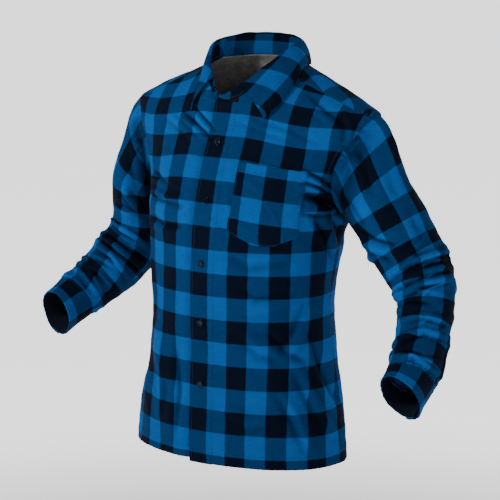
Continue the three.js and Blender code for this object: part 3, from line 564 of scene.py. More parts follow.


# Meshes

# Painted shade in the troughs of the cloth and under the arms, and painted highlight on ridges, kept as a
# 'shade' attribute that the flannel multiplies into its colour
SHADE_PASSES = 12
TROUGH_SHADE = 0.34
RIDGE_SHADE = 0.09
DARKEST = 0.2
LIGHTEST = 1.2
SHARP_ANGLE = math.radians(55)
# Painted shade under the arms: its centre, reach and depth
ARMPIT = np.array([226, -44, -262])
ARMPIT_REACH = np.array([36, 48, 85])
ARMPIT_SHADE = 0.72


def trough_shade(points, normals, closed):
    """Painted shade and highlight: a share of brightness, less in a trough of the cloth, more on a ridge."""
    evened = points
    for _ in range(SHADE_PASSES):
        for axis in (0, 1):
            sides = [(0, 0), (0, 0), (0, 0)]
            sides[axis] = (1, 1)
            padded = np.pad(evened, sides, mode="wrap" if closed and axis == 1 else "edge")
            count = evened.shape[axis]
            before, middle, after = (np.take(padded, range(k, k + count), axis=axis) for k in (0, 1, 2))
            evened = (before + 2 * middle + after) / 4
    rise = ((points - evened) * normals).sum(axis=-1)
    return np.clip(1 + np.where(rise < 0, TROUGH_SHADE, RIDGE_SHADE) * rise, DARKEST, LIGHTEST)


def armpit_shade(points):
    """Painted shade under the arms: a share of brightness, the same on both sides."""
    mirrored = stack(np.abs(points[..., 0]), points[..., 1], points[..., 2])
    distance = np.linalg.norm((mirrored - ARMPIT) / ARMPIT_REACH, axis=-1)
    return 1 - ARMPIT_SHADE * np.exp(-distance ** 2)


def cells_to_mesh(name, vertices, faces, corner_flat, face_material, materials, shade=None):
    mesh = bpy.data.meshes.new(name)
    mesh.vertices.add(len(vertices))
    mesh.vertices.foreach_set("co", (vertices * MM).astype(np.float32).ravel())
    mesh.loops.add(faces.size)
    mesh.loops.foreach_set("vertex_index", faces.astype(np.int32).ravel())
    mesh.polygons.add(len(faces))
    mesh.polygons.foreach_set("loop_start", np.arange(0, faces.size, 4, dtype=np.int32))
    mesh.polygons.foreach_set("material_index", face_material.astype(np.int32))
    # The 'shade' attribute holds painted shade and highlight, 1 where there is none
    shades = np.ones(len(vertices)) if shade is None else shade
    mesh.attributes.new("shade", "FLOAT", "POINT").data.foreach_set("value", shades.astype(np.float32))
    layer = mesh.uv_layers.new(name="flat")
    layer.data.foreach_set("uv", corner_flat.astype(np.float32).ravel())
    mesh.update(calc_edges=True)
    mesh.validate()
    mesh.shade_smooth()
    mesh.set_sharp_from_angle(angle=SHARP_ANGLE)
    for material in materials:
        mesh.materials.append(material)
    piece = bpy.data.objects.new(name, mesh)
    bpy.context.scene.collection.objects.link(piece)
    return piece


def shell(name, points, flat, inner, outer, materials, closed=False, has=None, bevel=0.45):
    """Closed wall of cloth over a grid.  `flat` has one column more than a closed grid of points."""
    rows, count = points.shape[:2]
    cells = count if closed else count - 1
    normals = grid_normals(points, closed)
    layers = np.stack([points + normals * outer, points + normals * inner])
    covered = np.ones((rows - 1, cells), bool) if has is None else has
    row, column = np.nonzero(covered)

    def corner(layer, r, c):
        return (layer * rows + r) * count + c % count

    square = [(row, column), (row, column + 1), (row + 1, column + 1), (row + 1, column)]
    outside = np.stack([corner(0, r, c) for r, c in square], axis=1)
    inside = np.stack([corner(1, r, c) for r, c in square[::-1]], axis=1)
    flat_at = np.stack([flat[r, c] for r, c in square], axis=1)
    faces, flats = [outside, inside], [flat_at, flat_at[:, ::-1]]
    kinds = [np.zeros(len(outside)), np.full(len(inside), len(materials) - 1)]
    ring = np.pad(covered, 1)
    if closed:
        ring[1:-1, 0], ring[1:-1, -1] = covered[:, -1], covered[:, 0]
    beside = [(row, column + 1), (row + 1, column + 2), (row + 2, column + 1), (row + 1, column)]
    for side, (r, c) in enumerate(beside):
        open_side = ~ring[r, c]
        (r0, c0), (r1, c1) = square[side], square[(side + 1) % 4]
        r0, c0, r1, c1 = r0[open_side], c0[open_side], r1[open_side], c1[open_side]
        rim = [corner(1, r0, c0), corner(1, r1, c1), corner(0, r1, c1), corner(0, r0, c0)]
        faces.append(np.stack(rim, axis=1))
        flats.append(np.stack([flat[r0, c0], flat[r1, c1], flat[r1, c1], flat[r0, c0]], axis=1))
        kinds.append(np.zeros(len(r0)))
    vertices = layers.reshape(-1, 3)
    faces = np.concatenate(faces)
    used, renumbered = np.unique(faces, return_inverse=True)
    # Painted shade in the troughs and under the arms, painted highlight on the ridges
    light = trough_shade(points, normals, closed) * armpit_shade(points)
    shade = np.tile(light.ravel(), 2)[used]
    piece = cells_to_mesh(f"{name}_cloth", vertices[used], renumbered.reshape(faces.shape),
                          np.concatenate(flats), np.concatenate(kinds), materials, shade)
    if bevel:
        modifier = piece.modifiers.new("soft edges", "BEVEL")
        modifier.width = bevel * MM
        modifier.segments = 2
        modifier.angle_limit = SHARP_ANGLE
    return piece


def plain_mesh(name, vertices, faces, material):
    """Mesh of one material with no check on it."""
    flat = np.zeros((len(faces), 4, 2))
    return cells_to_mesh(name, vertices, faces, flat, np.zeros(len(faces)), [material])


def check_flat(across, up):
    """Flat coordinates counted in repeats of the check."""
    across, up = np.broadcast_arrays(across, up)
    return np.stack([
        (across + CHECK_START_ACROSS) / (2 * CHECK_ACROSS),
        (up + CHECK_START_UP) / (2 * CHECK_UP),
    ], axis=-1)


# Materials

BRIGHT = (0.0, 0.082, 0.295)
MIDDLE = (0.0, 0.031, 0.107)
DARK = (0.0012, 0.0036, 0.012)
TWILL = 1.5
CHECK_EDGE = (0.242, 0.258)
CHECK_WOBBLE = 0.0032
FLUFF = (0.01, 0.1, 0.22)


class Maker:
    """A material with its shader and short ways to add nodes."""

    def __init__(self, name):
        self.material = bpy.data.materials.new(name)
        self.material.use_nodes = True
        self.tree = self.material.node_tree
        self.shader = self.tree.nodes["Principled BSDF"]

    def add(self, kind, inputs=(), **settings):
        node = self.tree.nodes.new(kind)
        for key, value in settings.items():
            setattr(node, key, value)
        for key, value in dict(inputs).items():
            if isinstance(value, bpy.types.NodeSocket):
                self.tree.links.new(value, node.inputs[key])
            else:
                node.inputs[key].default_value = value
        return node

    def math(self, operation, first, second=0.0):
        return self.add("ShaderNodeMath", {0: first, 1: second}, operation=operation).outputs[0]

    def noise(self, scale, detail=2.0, stretch=(1, 1, 1)):
        place = self.add("ShaderNodeTexCoord").outputs["Object"]
        mapped = self.add("ShaderNodeMapping", {"Vector": place, "Scale": stretch}).outputs[0]
        return self.add("ShaderNodeTexNoise", {"Vector": mapped, "Scale": scale, "Detail": detail}).outputs[0]

    def spread(self, value, low, high, to_low=0.0, to_high=1.0):
        inputs = {"Value": value, "From Min": low, "From Max": high, "To Min": to_low, "To Max": to_high}
        return self.add("ShaderNodeMapRange", inputs, interpolation_type="SMOOTHSTEP").outputs[0]

    def mix(self, share, first, second, blend="MIX"):
        node = self.add("ShaderNodeMix", data_type="RGBA", blend_type=blend)
        for socket, value in zip((node.inputs[0], node.inputs[6], node.inputs[7]), (share, first, second)):
            if isinstance(value, bpy.types.NodeSocket):
                self.tree.links.new(value, socket)
            else:
                socket.default_value = value
        return node.outputs[2]

    def finish(self, color, roughness, height=None, depth=0.3, strength=0.5, **sockets):
        if isinstance(color, bpy.types.NodeSocket):
            self.tree.links.new(color, self.shader.inputs["Base Color"])
        else:
            self.shader.inputs["Base Color"].default_value = (*color, 1)
        self.shader.inputs["Roughness"].default_value = roughness
        for key, value in sockets.items():
            self.shader.inputs[key.replace("_", " ")].default_value = value
        if height is not None:
            inputs = {"Height": height, "Distance": depth * MM, "Strength": strength}
            bump = self.add("ShaderNodeBump", inputs)
            self.tree.links.new(bump.outputs[0], self.shader.inputs["Normal"])
        return self.material


def flannel(name, dim=1.0):
    """Brushed two-colour check: black where both yarns are dark, twill lines where one is, darkened by
    painted shade from the mesh's shade attribute.
    """
    make = Maker(name)
    flat = make.add("ShaderNodeUVMap", uv_map="flat").outputs[0]
    parts = make.add("ShaderNodeSeparateXYZ", {0: flat})
    wobble = make.spread(make.noise(130, 2), 0.3, 0.7, -CHECK_WOBBLE, CHECK_WOBBLE)

    def band(value):
        moved = make.math("ADD", make.math("ADD", value, 0.25), wobble)
        return make.spread(make.math("PINGPONG", moved, 0.5), *CHECK_EDGE)

    dark = make.math("MULTIPLY", make.math("ADD", band(parts.outputs[0]), band(parts.outputs[1])), 0.5)
    across = make.math("MULTIPLY", parts.outputs[0], 2 * CHECK_ACROSS * 2 * math.pi / TWILL)
    up = make.math("MULTIPLY", parts.outputs[1], 2 * CHECK_UP * 2 * math.pi / TWILL)
    twill = make.math("SINE", make.math("ADD", across, up))
    off_middle = make.math("ABSOLUTE", make.math("SUBTRACT", make.math("MULTIPLY", dark, 2.0), 1.0))
    in_middle = make.math("SUBTRACT", 1.0, off_middle)
    lines = make.math("MULTIPLY", make.math("MULTIPLY", twill, in_middle), 0.1)
    ramp = make.add("ShaderNodeValToRGB", {0: make.math("ADD", dark, lines)})
    ramp.color_ramp.elements[0].color = (*BRIGHT, 1)
    ramp.color_ramp.elements[1].color = (*DARK, 1)
    ramp.color_ramp.elements.new(0.5).color = (*MIDDLE, 1)
    # dim scales the whole check down, painted shade for the inner faces
    streaks = make.spread(make.noise(90, 5, (1, 1, 7)), 0.3, 0.7, 0.9 * dim, 1.08 * dim)
    # Painted shade and highlight: the 'shade' attribute darkens the check in troughs and under the arms and
    # lightens it on ridges
    shaded = make.add("ShaderNodeAttribute", attribute_name="shade").outputs["Fac"]
    streaks_and_shade = make.math("MULTIPLY", streaks, shaded)
    shade = make.add("ShaderNodeCombineXYZ", {0: streaks_and_shade, 1: streaks_and_shade, 2: streaks_and_shade}).outputs[0]
    color = make.mix(1.0, ramp.outputs[0], shade, "MULTIPLY")
    nap = make.noise(1100, 3)
    fluff = make.spread(nap, 0.56, 0.78, 0.0, 0.07)
    color = make.mix(fluff, color, (*FLUFF, 1))
    height = make.math("ADD", make.math("MULTIPLY", twill, 0.25), nap)
    return make.finish(color, 0.88, height, 0.35, 0.45, Sheen_Weight=0.02, Sheen_Roughness=0.45,
                       Sheen_Tint=(0.2, 0.5, 1, 1), Specular_IOR_Level=0.05)


def lining_cloth():
    """Charcoal melange with lighter flecks along the weave."""
    make = Maker("charcoal_lining")
    flecks = make.spread(make.noise(420, 3, (0.35, 1, 2.2)), 0.45, 0.72)
    cloud = make.spread(make.noise(60, 3), 0.3, 0.7)
    base = make.mix(cloud, (0.23, 0.23, 0.225, 1), (0.4, 0.395, 0.38, 1))
    color = make.mix(make.math("MULTIPLY", flecks, 0.8), base, (0.66, 0.62, 0.56, 1))
    return make.finish(color, 0.9, flecks, 0.3, 0.4, Specular_IOR_Level=0.2)


def plain(name, color, roughness, **sockets):
    return Maker(name).finish(color, roughness, **sockets)


CLOTH = flannel("check_flannel")
# Painted shade: the inner faces carry the same check dimmed to 0.6
INSIDE = flannel("check_flannel_inside", 0.6)
# Painted shade: dark navy for the inner faces of the cuffs and the buttonhole slits
PAINTED_SHADE_NAVY = plain("navy_painted_shade", (0.004, 0.006, 0.016), 0.9, Specular_IOR_Level=0.15)
LINING = lining_cloth()
THREAD = plain("blue_thread", (0.003, 0.034, 0.105), 0.6)
DARK_THREAD = plain("navy_thread", (0.004, 0.012, 0.035), 0.6)
PLASTIC = plain("button_navy", (0.0006, 0.002, 0.007), 0.1, Specular_IOR_Level=0.36,
                Specular_Tint=(0.3, 0.55, 1, 1))


# Stitches

STITCH_PITCH = 3.4
STITCH_LENGTH = 2.5
STITCH_RADIUS = 0.32
STITCH_RINGS = [(-0.5, 0.15, -0.2), (-0.3, 1.0, 0.25), (0.3, 1.0, 0.25), (0.5, 0.15, -0.2)]
STITCH_SIDES = 5

# Distances of the rows of stitches from the edges of their cloths
HEM_STITCHES = 22
ARMHOLE_STITCHES = 9
SIDE_STITCHES = 2.2
PLACKET_STITCHES = 6
YOKE_STITCHES = 3
LINING_STITCHES = 2.5
STAND_STITCHES = 3
LEAF_STITCHES = 6
POCKET_STITCHES = 2.5
POCKET_MOUTH_STITCHES = 16
CUFF_STITCHES = {"sleeve": 3, "wrist": 4, "lap": 4}


def resample(line, pitch):
    """Points at even steps along a line, with the directions along it."""
    points, normals = line
    lengths = np.linalg.norm(np.diff(points, axis=0), axis=1)
    along = np.concatenate([[0], np.cumsum(lengths)])
    count = max(int(along[-1] / pitch), 1)
    places = (np.arange(count) + 0.5) * along[-1] / count

    def at(values, where):
        return np.stack([np.interp(where, along, values[:, axis]) for axis in range(3)], axis=1)

    tangents = unit(at(points, places + 0.5) - at(points, places - 0.5))
    return at(points, places), unit(at(normals, places)), tangents


def stitching(name, lines, material):
    """Rows of raised stitches along lines, each a pair of points and normals."""
    vertices, faces = [], []
    parts = [resample(line, STITCH_PITCH) for line in lines]
    centres = np.concatenate([part[0] for part in parts])
    normals = np.concatenate([part[1] for part in parts])
    tangents = np.concatenate([part[2] for part in parts])
    beside = unit(np.cross(normals, tangents))
    for along, size, height in STITCH_RINGS:
        middle = centres + tangents * along * STITCH_LENGTH + normals * (height * STITCH_RADIUS)
        for side in round_turns(STITCH_SIDES):
            radial = beside * math.cos(side) + normals * math.sin(side)
            vertices.append(middle + radial * STITCH_RADIUS * size)
    vertices = np.stack(vertices, axis=1)
    per_stitch = vertices.shape[1]
    for ring in range(len(STITCH_RINGS) - 1):
        for side in range(STITCH_SIDES):
            a = ring * STITCH_SIDES + side
            b = ring * STITCH_SIDES + (side + 1) % STITCH_SIDES
            faces.append([a, b, b + STITCH_SIDES, a + STITCH_SIDES])
    starts = np.arange(len(centres))[:, None, None] * per_stitch
    faces = (np.array(faces)[None] + starts).reshape(-1, 4)
    piece = plain_mesh(name, vertices.reshape(-1, 3), faces, material)
    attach(piece, "root")
    return piece


def grid_line(points, rows, cols, outer, closed=False):
    """Line over a grid at fractional rows and columns, on its outer face, with its normals."""
    normals = grid_normals(points, closed)
    rows, cols = np.broadcast_arrays(np.asarray(rows, float), np.asarray(cols, float))
    rows = np.clip(rows, 0, points.shape[0] - 1)
    cols = np.clip(cols, 0, points.shape[1] - 1)
    row = np.minimum(rows.astype(int), points.shape[0] - 2)
    col = np.minimum(cols.astype(int), points.shape[1] - 2)
    down, along = (rows - row)[:, None], (cols - col)[:, None]

    def sample(values):
        low = lerp(values[row, col], values[row, col + 1], along)
        high = lerp(values[row + 1, col], values[row + 1, col + 1], along)
        return lerp(low, high, down)

    normal = unit(sample(normals))
    return sample(points) + normal * outer, normal


def inset_columns(points, distance, from_end):
    """Fractional column, on each row, that lies a distance in from the first or the last column."""
    arcs = arc_length(points)
    wanted = [arc[-1] - distance if from_end else distance for arc in arcs]
    return np.array([np.interp(want, arc, np.arange(len(arc))) for want, arc in zip(wanted, arcs)])


def inset_rows(points, distance, from_end):
    """Fractional row, on each column, that lies a distance in from the first or the last row."""
    return inset_columns(points.swapaxes(0, 1), distance, from_end)


def column_line(points, distance, from_end, outer, rows=None):
    cols = inset_columns(points, distance, from_end)
    rows = np.arange(len(points)) if rows is None else rows
    return grid_line(points, rows, cols[rows], outer)


def row_line(points, distance, from_end, outer, cols=None):
    rows = inset_rows(points, distance, from_end)
    cols = np.arange(points.shape[1]) if cols is None else cols
    return grid_line(points, rows[cols], cols, outer)


def sew(piece, node, lines, stitches_name=None, thread=None):
    """Adds the stitches of a cloth and puts it in the place of its solid."""
    stitches = stitching(stitches_name or f"{node}_stitches", lines, thread or THREAD)
    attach(piece, "root")
    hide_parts(node)


# Front panels

FRONT_COLUMNS = 104
LOWER_ROWS = 170
CHEST_ROWS = 76
SHOULDER_ROWS = 36
HEM_ROWS = np.array([0, 1.5, 4, 8, 12, 16, 19, 20.5, 22, 23.5])
ABOVE_HEM = 26
HEM_STEP = 0.5
SIDE_GAP = 0.06
RISE_GAP = 0.08

# The check drops by this much towards the armhole, between these heights and distances across
CHECK_DROP = 21
CHECK_DROP_HEIGHTS = (-330, -170)
CHECK_DROP_ACROSS = (40, 190)


def placed(points, sunk=0.0):
    """Points of the body's plain form moved out by its creases."""
    normals = grid_normals(points)
    return points + normals * (body_height(points, normals) - sunk)[..., None]


def lower_heights(hem):
    return np.concatenate([hem + HEM_ROWS, np.linspace(hem + ABOVE_HEM, UNDERARM, LOWER_ROWS)])


def panel_relief(to_hem, to_side, across, up):
    """Step of the folded hem and the pucker along the hem's stitches, the hem and the side seam."""
    return (HEM_STEP * smooth(HEM_STITCHES - to_hem, 0, 3) + pucker(to_hem - HEM_STITCHES, across)
            + pucker(to_hem, across, 5, 0.5) + pucker(to_side - 4, up, 8, 0.35))


def front_form(side):
    """Plain form of a front panel from its front edge to its side, with its flat coordinates."""
    hem = HEM_LEFT if side > 0 else HEM_RIGHT
    edge = PLACKET_LEFT + SEAM_GAP if side > 0 else -UNDERLAP["edge"]
    share = graded(FRONT_COLUMNS)
    heights = lower_heights(hem)[:, None]
    start = np.degrees(np.arcsin(signed_power(edge / from_table(LOWER, heights, "half"), LOWER_POWER / 2)))
    end = from_table(LOWER, heights, "side") - SIDE_GAP
    lower = lower_point(side * lerp(start, end, share), heights)
    chest = np.linspace(0, FRONT_NECK_RISE, CHEST_ROWS)
    shoulder = np.linspace(FRONT_NECK_RISE, SHOULDER_SEAM_RISE - RISE_GAP, SHOULDER_ROWS)
    rises = np.concatenate([chest, shoulder[1:]])[:, None]
    across = np.where(rises > FRONT_NECK_RISE, np.maximum(neck_across(rises), edge), edge)
    upper = upper_point(side * lerp(angle_across(across, rises), armhole_angle(rises), share), rises)
    points = np.concatenate([lower[:-1], upper])
    across = side * arc_across(points) + points[:, :1, 0]
    up = arc_up(points)
    up += UNDERARM - up[len(lower) - 1]
    high = smooth(points[..., 2], *CHECK_DROP_HEIGHTS)
    up = up + CHECK_DROP * high * smooth(np.abs(across), *CHECK_DROP_ACROSS)
    if side < 0:
        points, across, up = points[:, ::-1], across[:, ::-1], up[:, ::-1]
    return points, across, up


def front_panel(name, side):
    points, across, up = front_form(side)
    arcs = arc_length(points)
    to_side = arcs[:, -1:] - arcs if side > 0 else arcs
    sunk = UNDERLAP["depth"] * smooth(points[..., 0], UNDERLAP["start"], UNDERLAP["end"]) if side < 0 else 0
    shape = placed(points, sunk - panel_relief(arc_up(points), to_side, across, up))
    piece = shell(name, shape, check_flat(across, up), -HALF_WALL, HALF_WALL, [CLOTH, INSIDE])
    upper_rows = np.arange(len(lower_heights(HEM_LEFT)) - 1, len(points))
    lines = [
        row_line(shape, HEM_STITCHES, False, HALF_WALL),
        column_line(shape, ARMHOLE_STITCHES, side > 0, HALF_WALL, upper_rows),
        column_line(shape, SIDE_STITCHES, side > 0, HALF_WALL, np.arange(upper_rows[0])),
    ]
    sew(piece, name, lines)


# Placket

PLACKET_ROWS = 190
PLACKET_COLUMNS = 15
PLACKET_TOP_DROP = 2
EDGE_ROLL = 0.7


def placket_band():
    top = neck_point(0.0)[2] - PLACKET_TOP_DROP
    heights = np.linspace(HEM_LEFT - 1, top, PLACKET_ROWS)[:, None]
    across = lerp(PLACKET_RIGHT, PLACKET_LEFT, graded(PLACKET_COLUMNS, (0.02, 0.05, 0.12)))
    points = front_point(across, heights)
    normals = grid_normals(points)
    edge = np.minimum(across - PLACKET_RIGHT, PLACKET_LEFT - across)
    roll = -EDGE_ROLL * np.exp(-(edge / 1.6) ** 2) + pucker(edge - PLACKET_STITCHES, heights, 5, 0.28)
    lift = body_height(points, normals) + PLACKET_PROUD + roll
    shape = points + normals * lift[..., None]
    up = arc_up(points)
    at_underarm = [np.interp(UNDERARM, points[:, c, 2], up[:, c]) for c in range(up.shape[1])]
    up += UNDERARM - np.array(at_underarm)
    flat = check_flat(across, up)
    half = PLACKET_WALL / 2
    piece = shell("placket", shape, flat, -half, half, [CLOTH, INSIDE])
    sew(piece, "placket", [column_line(shape, PLACKET_STITCHES, end, half) for end in (False, True)])


# Back panel and yoke


def yoke_seam_rise(x):
    share = np.minimum(np.abs(x) / SHOULDER_HALF_WIDTH, 1)
    return 180 - lerp(YOKE_SEAM[0], YOKE_SEAM[1], share ** 2)


def seam_of_parts(part):
    """Signed rise of the yoke seam at shares of the armhole angle."""
    rise = np.full(part.shape, 180.0 - YOKE_SEAM[0])
    for _ in range(8):
        rise = yoke_seam_rise(upper_point(part * armhole_angle(rise), rise)[..., 0])
    return rise


BACK_COLUMNS = 170
BACK_UPPER_ROWS = 38
BACK_CHECK_ACROSS = 9


def back_form():
    part = 1 - 2 * graded(BACK_COLUMNS, (0.002, 0.005, 0.009))
    seam = seam_of_parts(part)
    heights = lower_heights(HEM_BACK)[:, None]
    half_angle = 180 - from_table(LOWER, heights, "side") - SIDE_GAP
    lower = lower_point(180 - part * half_angle, heights)
    rises = lerp(180, seam, np.linspace(0, 1, BACK_UPPER_ROWS)[:, None])
    rises = np.maximum(rises, seam + RISE_GAP)
    upper = upper_point(part * armhole_angle(rises), rises)
    points = np.concatenate([lower[:-1], upper])
    arcs = arc_across(points)
    across = arcs - arcs[:, [np.argmin(np.abs(part))]]
    up = arc_up(points)
    up += UNDERARM - up[len(lower) - 1]
    return points, across, up


def back_panel():
    points, across, up = back_form()
    arcs = arc_length(points)
    to_side = np.minimum(arcs, arcs[:, -1:] - arcs)
    to_hem = arc_up(points)
    to_seam = to_hem[-1:] - to_hem
    relief = panel_relief(to_hem, to_side, across, up) + pucker(to_seam, across, 8, 0.3)
    shape = placed(points, -relief)
    flat = check_flat(across + BACK_CHECK_ACROSS, up)
    piece = shell("back", shape, flat, -HALF_WALL, HALF_WALL, [CLOTH, INSIDE])
    rows = np.arange(len(lower_heights(HEM_BACK)) - 1, len(points))
    lines = [row_line(shape, HEM_STITCHES, False, HALF_WALL)]
    lines += [column_line(shape, ARMHOLE_STITCHES, end, HALF_WALL, rows) for end in (False, True)]
    sew(piece, "back", lines)


YOKE_SIDE = 46
YOKE_NECK = 60
YOKE_BACK_ROWS = 40
YOKE_FRONT_ROWS = 14
YOKE_CHECK = (30, 12)


def yoke_columns():
    """Shares under the neck and along each shoulder, from the wearer's left to the right."""
    arm = np.linspace(0, 1, YOKE_SIDE + 1)[1:]
    neck = np.sin(np.linspace(np.pi / 2, -np.pi / 2, YOKE_NECK + 1))
    neck_share = np.concatenate([np.ones(YOKE_SIDE), neck, -np.ones(YOKE_SIDE)])
    arm_share = np.concatenate([arm[::-1], np.zeros(YOKE_NECK + 1), arm])
    return neck_share, arm_share


def yoke_points(neck_share, arm_share, rise, neck_half):
    near = angle_across(np.abs(neck_share) * neck_half, rise)
    return upper_point(np.sign(neck_share) * lerp(near, armhole_angle(rise), arm_share), rise)


def yoke_back_form(rows):
    """Back part of the yoke from its seam to the ridge and the neckline."""
    neck_share, arm_share = yoke_columns()
    seam = yoke_seam_rise(lerp(np.abs(neck_share) * NECK_HALF_WIDTH, SHOULDER_HALF_WIDTH, arm_share))
    around = 180 - np.degrees(np.arcsin(np.clip(np.abs(neck_share), 0, 1)))
    top = np.where(arm_share > 0, 90.0, neck_rise(around))
    rise = lerp(seam - RISE_GAP, top, np.linspace(0, 1, rows)[:, None])
    return yoke_points(neck_share, arm_share, rise, NECK_HALF_WIDTH)


def yoke():
    neck_share, arm_share = yoke_columns()
    rise = np.linspace(90, SHOULDER_SEAM_RISE + RISE_GAP, YOKE_FRONT_ROWS)[1:, None]
    front = yoke_points(neck_share, arm_share, rise, neck_across(rise))
    points = np.concatenate([yoke_back_form(YOKE_BACK_ROWS), front])
    across = -points[..., 0]
    up = arc_up(points)
    relief = pucker(up, across, 8, 0.3)
    relief += pucker(up[-1:] - up, across, 6, 0.3) * (arm_share > 0)
    shape = placed(points, -relief)
    has = np.ones((len(points) - 1, points.shape[1] - 1), bool)
    has[YOKE_BACK_ROWS - 1:, YOKE_SIDE:YOKE_SIDE + YOKE_NECK] = False
    flat = check_flat(across + YOKE_CHECK[0], up + YOKE_CHECK[1])
    piece = shell("yoke", shape, flat, -HALF_WALL, HALF_WALL, [CLOTH, INSIDE], has=has)
    shoulder = np.arange(YOKE_SIDE)
    lines = [row_line(shape, YOKE_STITCHES, False, HALF_WALL)]
    for cols in (shoulder, shoulder + YOKE_SIDE + YOKE_NECK + 1):
        lines.append(row_line(shape, YOKE_STITCHES, True, HALF_WALL, cols))
    lines += [column_line(shape, ARMHOLE_STITCHES, end, HALF_WALL) for end in (False, True)]
    sew(piece, "yoke", lines)


LINING_ROWS = 30
LINING_BELOW_ROWS = 12
LINING_BELOW = 0.4
LINING_WEAVE = 100


def lining():
    """The inner yoke where the neck shows it, carried on a little way below the yoke seam."""
    side = YOKE_SIDE // 3
    first, last = YOKE_SIDE - side, YOKE_SIDE + YOKE_NECK + side
    upper = yoke_back_form(LINING_ROWS)[:, first:last + 1]
    fall = np.linspace(1, 0, LINING_BELOW_ROWS)[:-1, None]
    neck_share, arm_share = yoke_columns()
    neck_share, arm_share = neck_share[first:last + 1], arm_share[first:last + 1]
    from_neck = np.abs(neck_share) * NECK_HALF_WIDTH
    seam = yoke_seam_rise(lerp(from_neck, SHOULDER_HALF_WIDTH, arm_share))
    angle = lerp(angle_across(from_neck, seam), armhole_angle(seam), arm_share)
    part = np.sign(neck_share) * angle / armhole_angle(seam)
    rise = lerp(seam, 180, fall * LINING_BELOW)
    lower = upper_point(part * armhole_angle(rise), rise)
    points = np.concatenate([lower, upper])
    shape = placed(points)
    flat = np.stack([-points[..., 0], arc_up(points)], axis=-1) / LINING_WEAVE
    inner = -LINING_DEPTH - LINING_WALL
    piece = shell("back_lining", shape, flat, inner, -LINING_DEPTH, [LINING], bevel=0.2)
    line = row_line(shape, LINING_STITCHES, False, inner)
    sew(piece, "back_lining", [(line[0], -line[1])], "lining_stitches", DARK_THREAD)


# Collar

STAND_COLUMNS = 230
STAND_ROWS = np.array([-0.035, 0.03, 0.08, 0.2, 0.4, 0.6, 0.8, 0.92, 0.97, 1])[:, None]
STAND_LEAN = {"sideways": 0.2, "back": 0.15, "back_at_front": 0.32}
STAND_OUTER_ROUND = (-2, 28)
STAND_INNER_ROUND = (-2, 22)
STAND_CHECK = (30, -402)


def stand_direction(angle):
    turn = np.radians(angle)
    back = STAND_LEAN["back"] + STAND_LEAN["back_at_front"] * np.cos(turn)
    return unit(stack(STAND_LEAN["sideways"] * np.sin(turn), back, 1.0))


def stand_height(angle):
    """Height of the stand, which is rounded off towards its two ends at the front."""
    full = lerp(STAND_FRONT, STAND_BACK, (1 - np.cos(np.radians(angle))) / 2)
    outer_end = lerp(STAND_OUTER_END, 1, smooth(angle + STAND_END, *STAND_OUTER_ROUND))
    inner_end = lerp(STAND_INNER_END, 1, smooth(STAND_LAST - angle, *STAND_INNER_ROUND))
    return full * np.minimum(outer_end, inner_end)


def stand_point(angle, part):
    rise = np.asarray(part * stand_height(angle))[..., None]
    return neck_point(angle) + np.array([0, 0, STAND_LIFT]) + stand_direction(angle) * rise


def neck_outward(angle):
    ahead = stand_point(angle + 2, 0.5) - stand_point(angle - 2, 0.5)
    return unit(np.cross(ahead, stand_direction(angle)))


def collar_stand():
    angles = lerp(-STAND_END, STAND_LAST, graded(STAND_COLUMNS))
    points = stand_point(angles, STAND_ROWS)
    length = arc_length(points)
    up = STAND_ROWS * stand_height(angles)
    swell = swells(points, "stand") + pucker(up, length, 4, 0.25)
    shape = points + grid_normals(points) * swell[..., None]
    half = STAND_WALL / 2
    behind = smooth(-np.cos(np.radians(angles)), -0.2, 0.3)
    flat = check_flat(length + STAND_CHECK[0], up + STAND_CHECK[1] + CHECK_UP * behind)
    piece = shell("collar_stand", shape, flat, -half, half, [CLOTH, CLOTH], bevel=0.7)
    inner = row_line(shape, STAND_STITCHES, False, -half)
    lines = [row_line(shape, STAND_STITCHES, False, half), (inner[0], -inner[1])]
    sew(piece, "collar_stand", lines)


LEAF_COLUMNS = 220
LEAF_ROWS = 34
LEAF_CORNER_COLUMNS = 4
LEAF_ABOVE_STAND = LEAF_WALL / 2 + 0.9
LEAF_CHECK = (-25, -398)
LEAF_CHECK_BEHIND = 18
# Handles of the leaf's curve over the stand's top and over its own edge: distance up and out
LEAF_ROLL = (7, 6)
LEAF_FALL = (16, 3)


def leaf_edge(angle):
    is_right = angle > 180
    turned = np.where(is_right, 360 - angle, angle)

    def edge(name):
        left, right = (from_table(table, turned, name) for table in (LEAF_EDGE_LEFT, LEAF_EDGE_RIGHT))
        return np.where(is_right, right, left)

    across = edge("across") * np.where(is_right, -1, 1)
    rise = edge("rise")
    place = angle_across(across, rise)
    return upper_point(place, rise) + upper_normals(place, rise) * LEAF_CLEARANCE


def leaf_point(angle, part):
    """The leaf rolls over the top of the stand and falls to its lower edge."""
    out = neck_outward(angle)
    up = np.array([0, 0, 1.0])
    top = stand_point(angle, 1.0)
    end = leaf_edge(angle)
    crest = top + up * LEAF_ROLL[0] + out * LEAF_ROLL[1]
    above = end + up * LEAF_FALL[0] + out * LEAF_FALL[1]
    return bezier(top + up * LEAF_ABOVE_STAND, crest, above, end, np.asarray(part)[..., None])


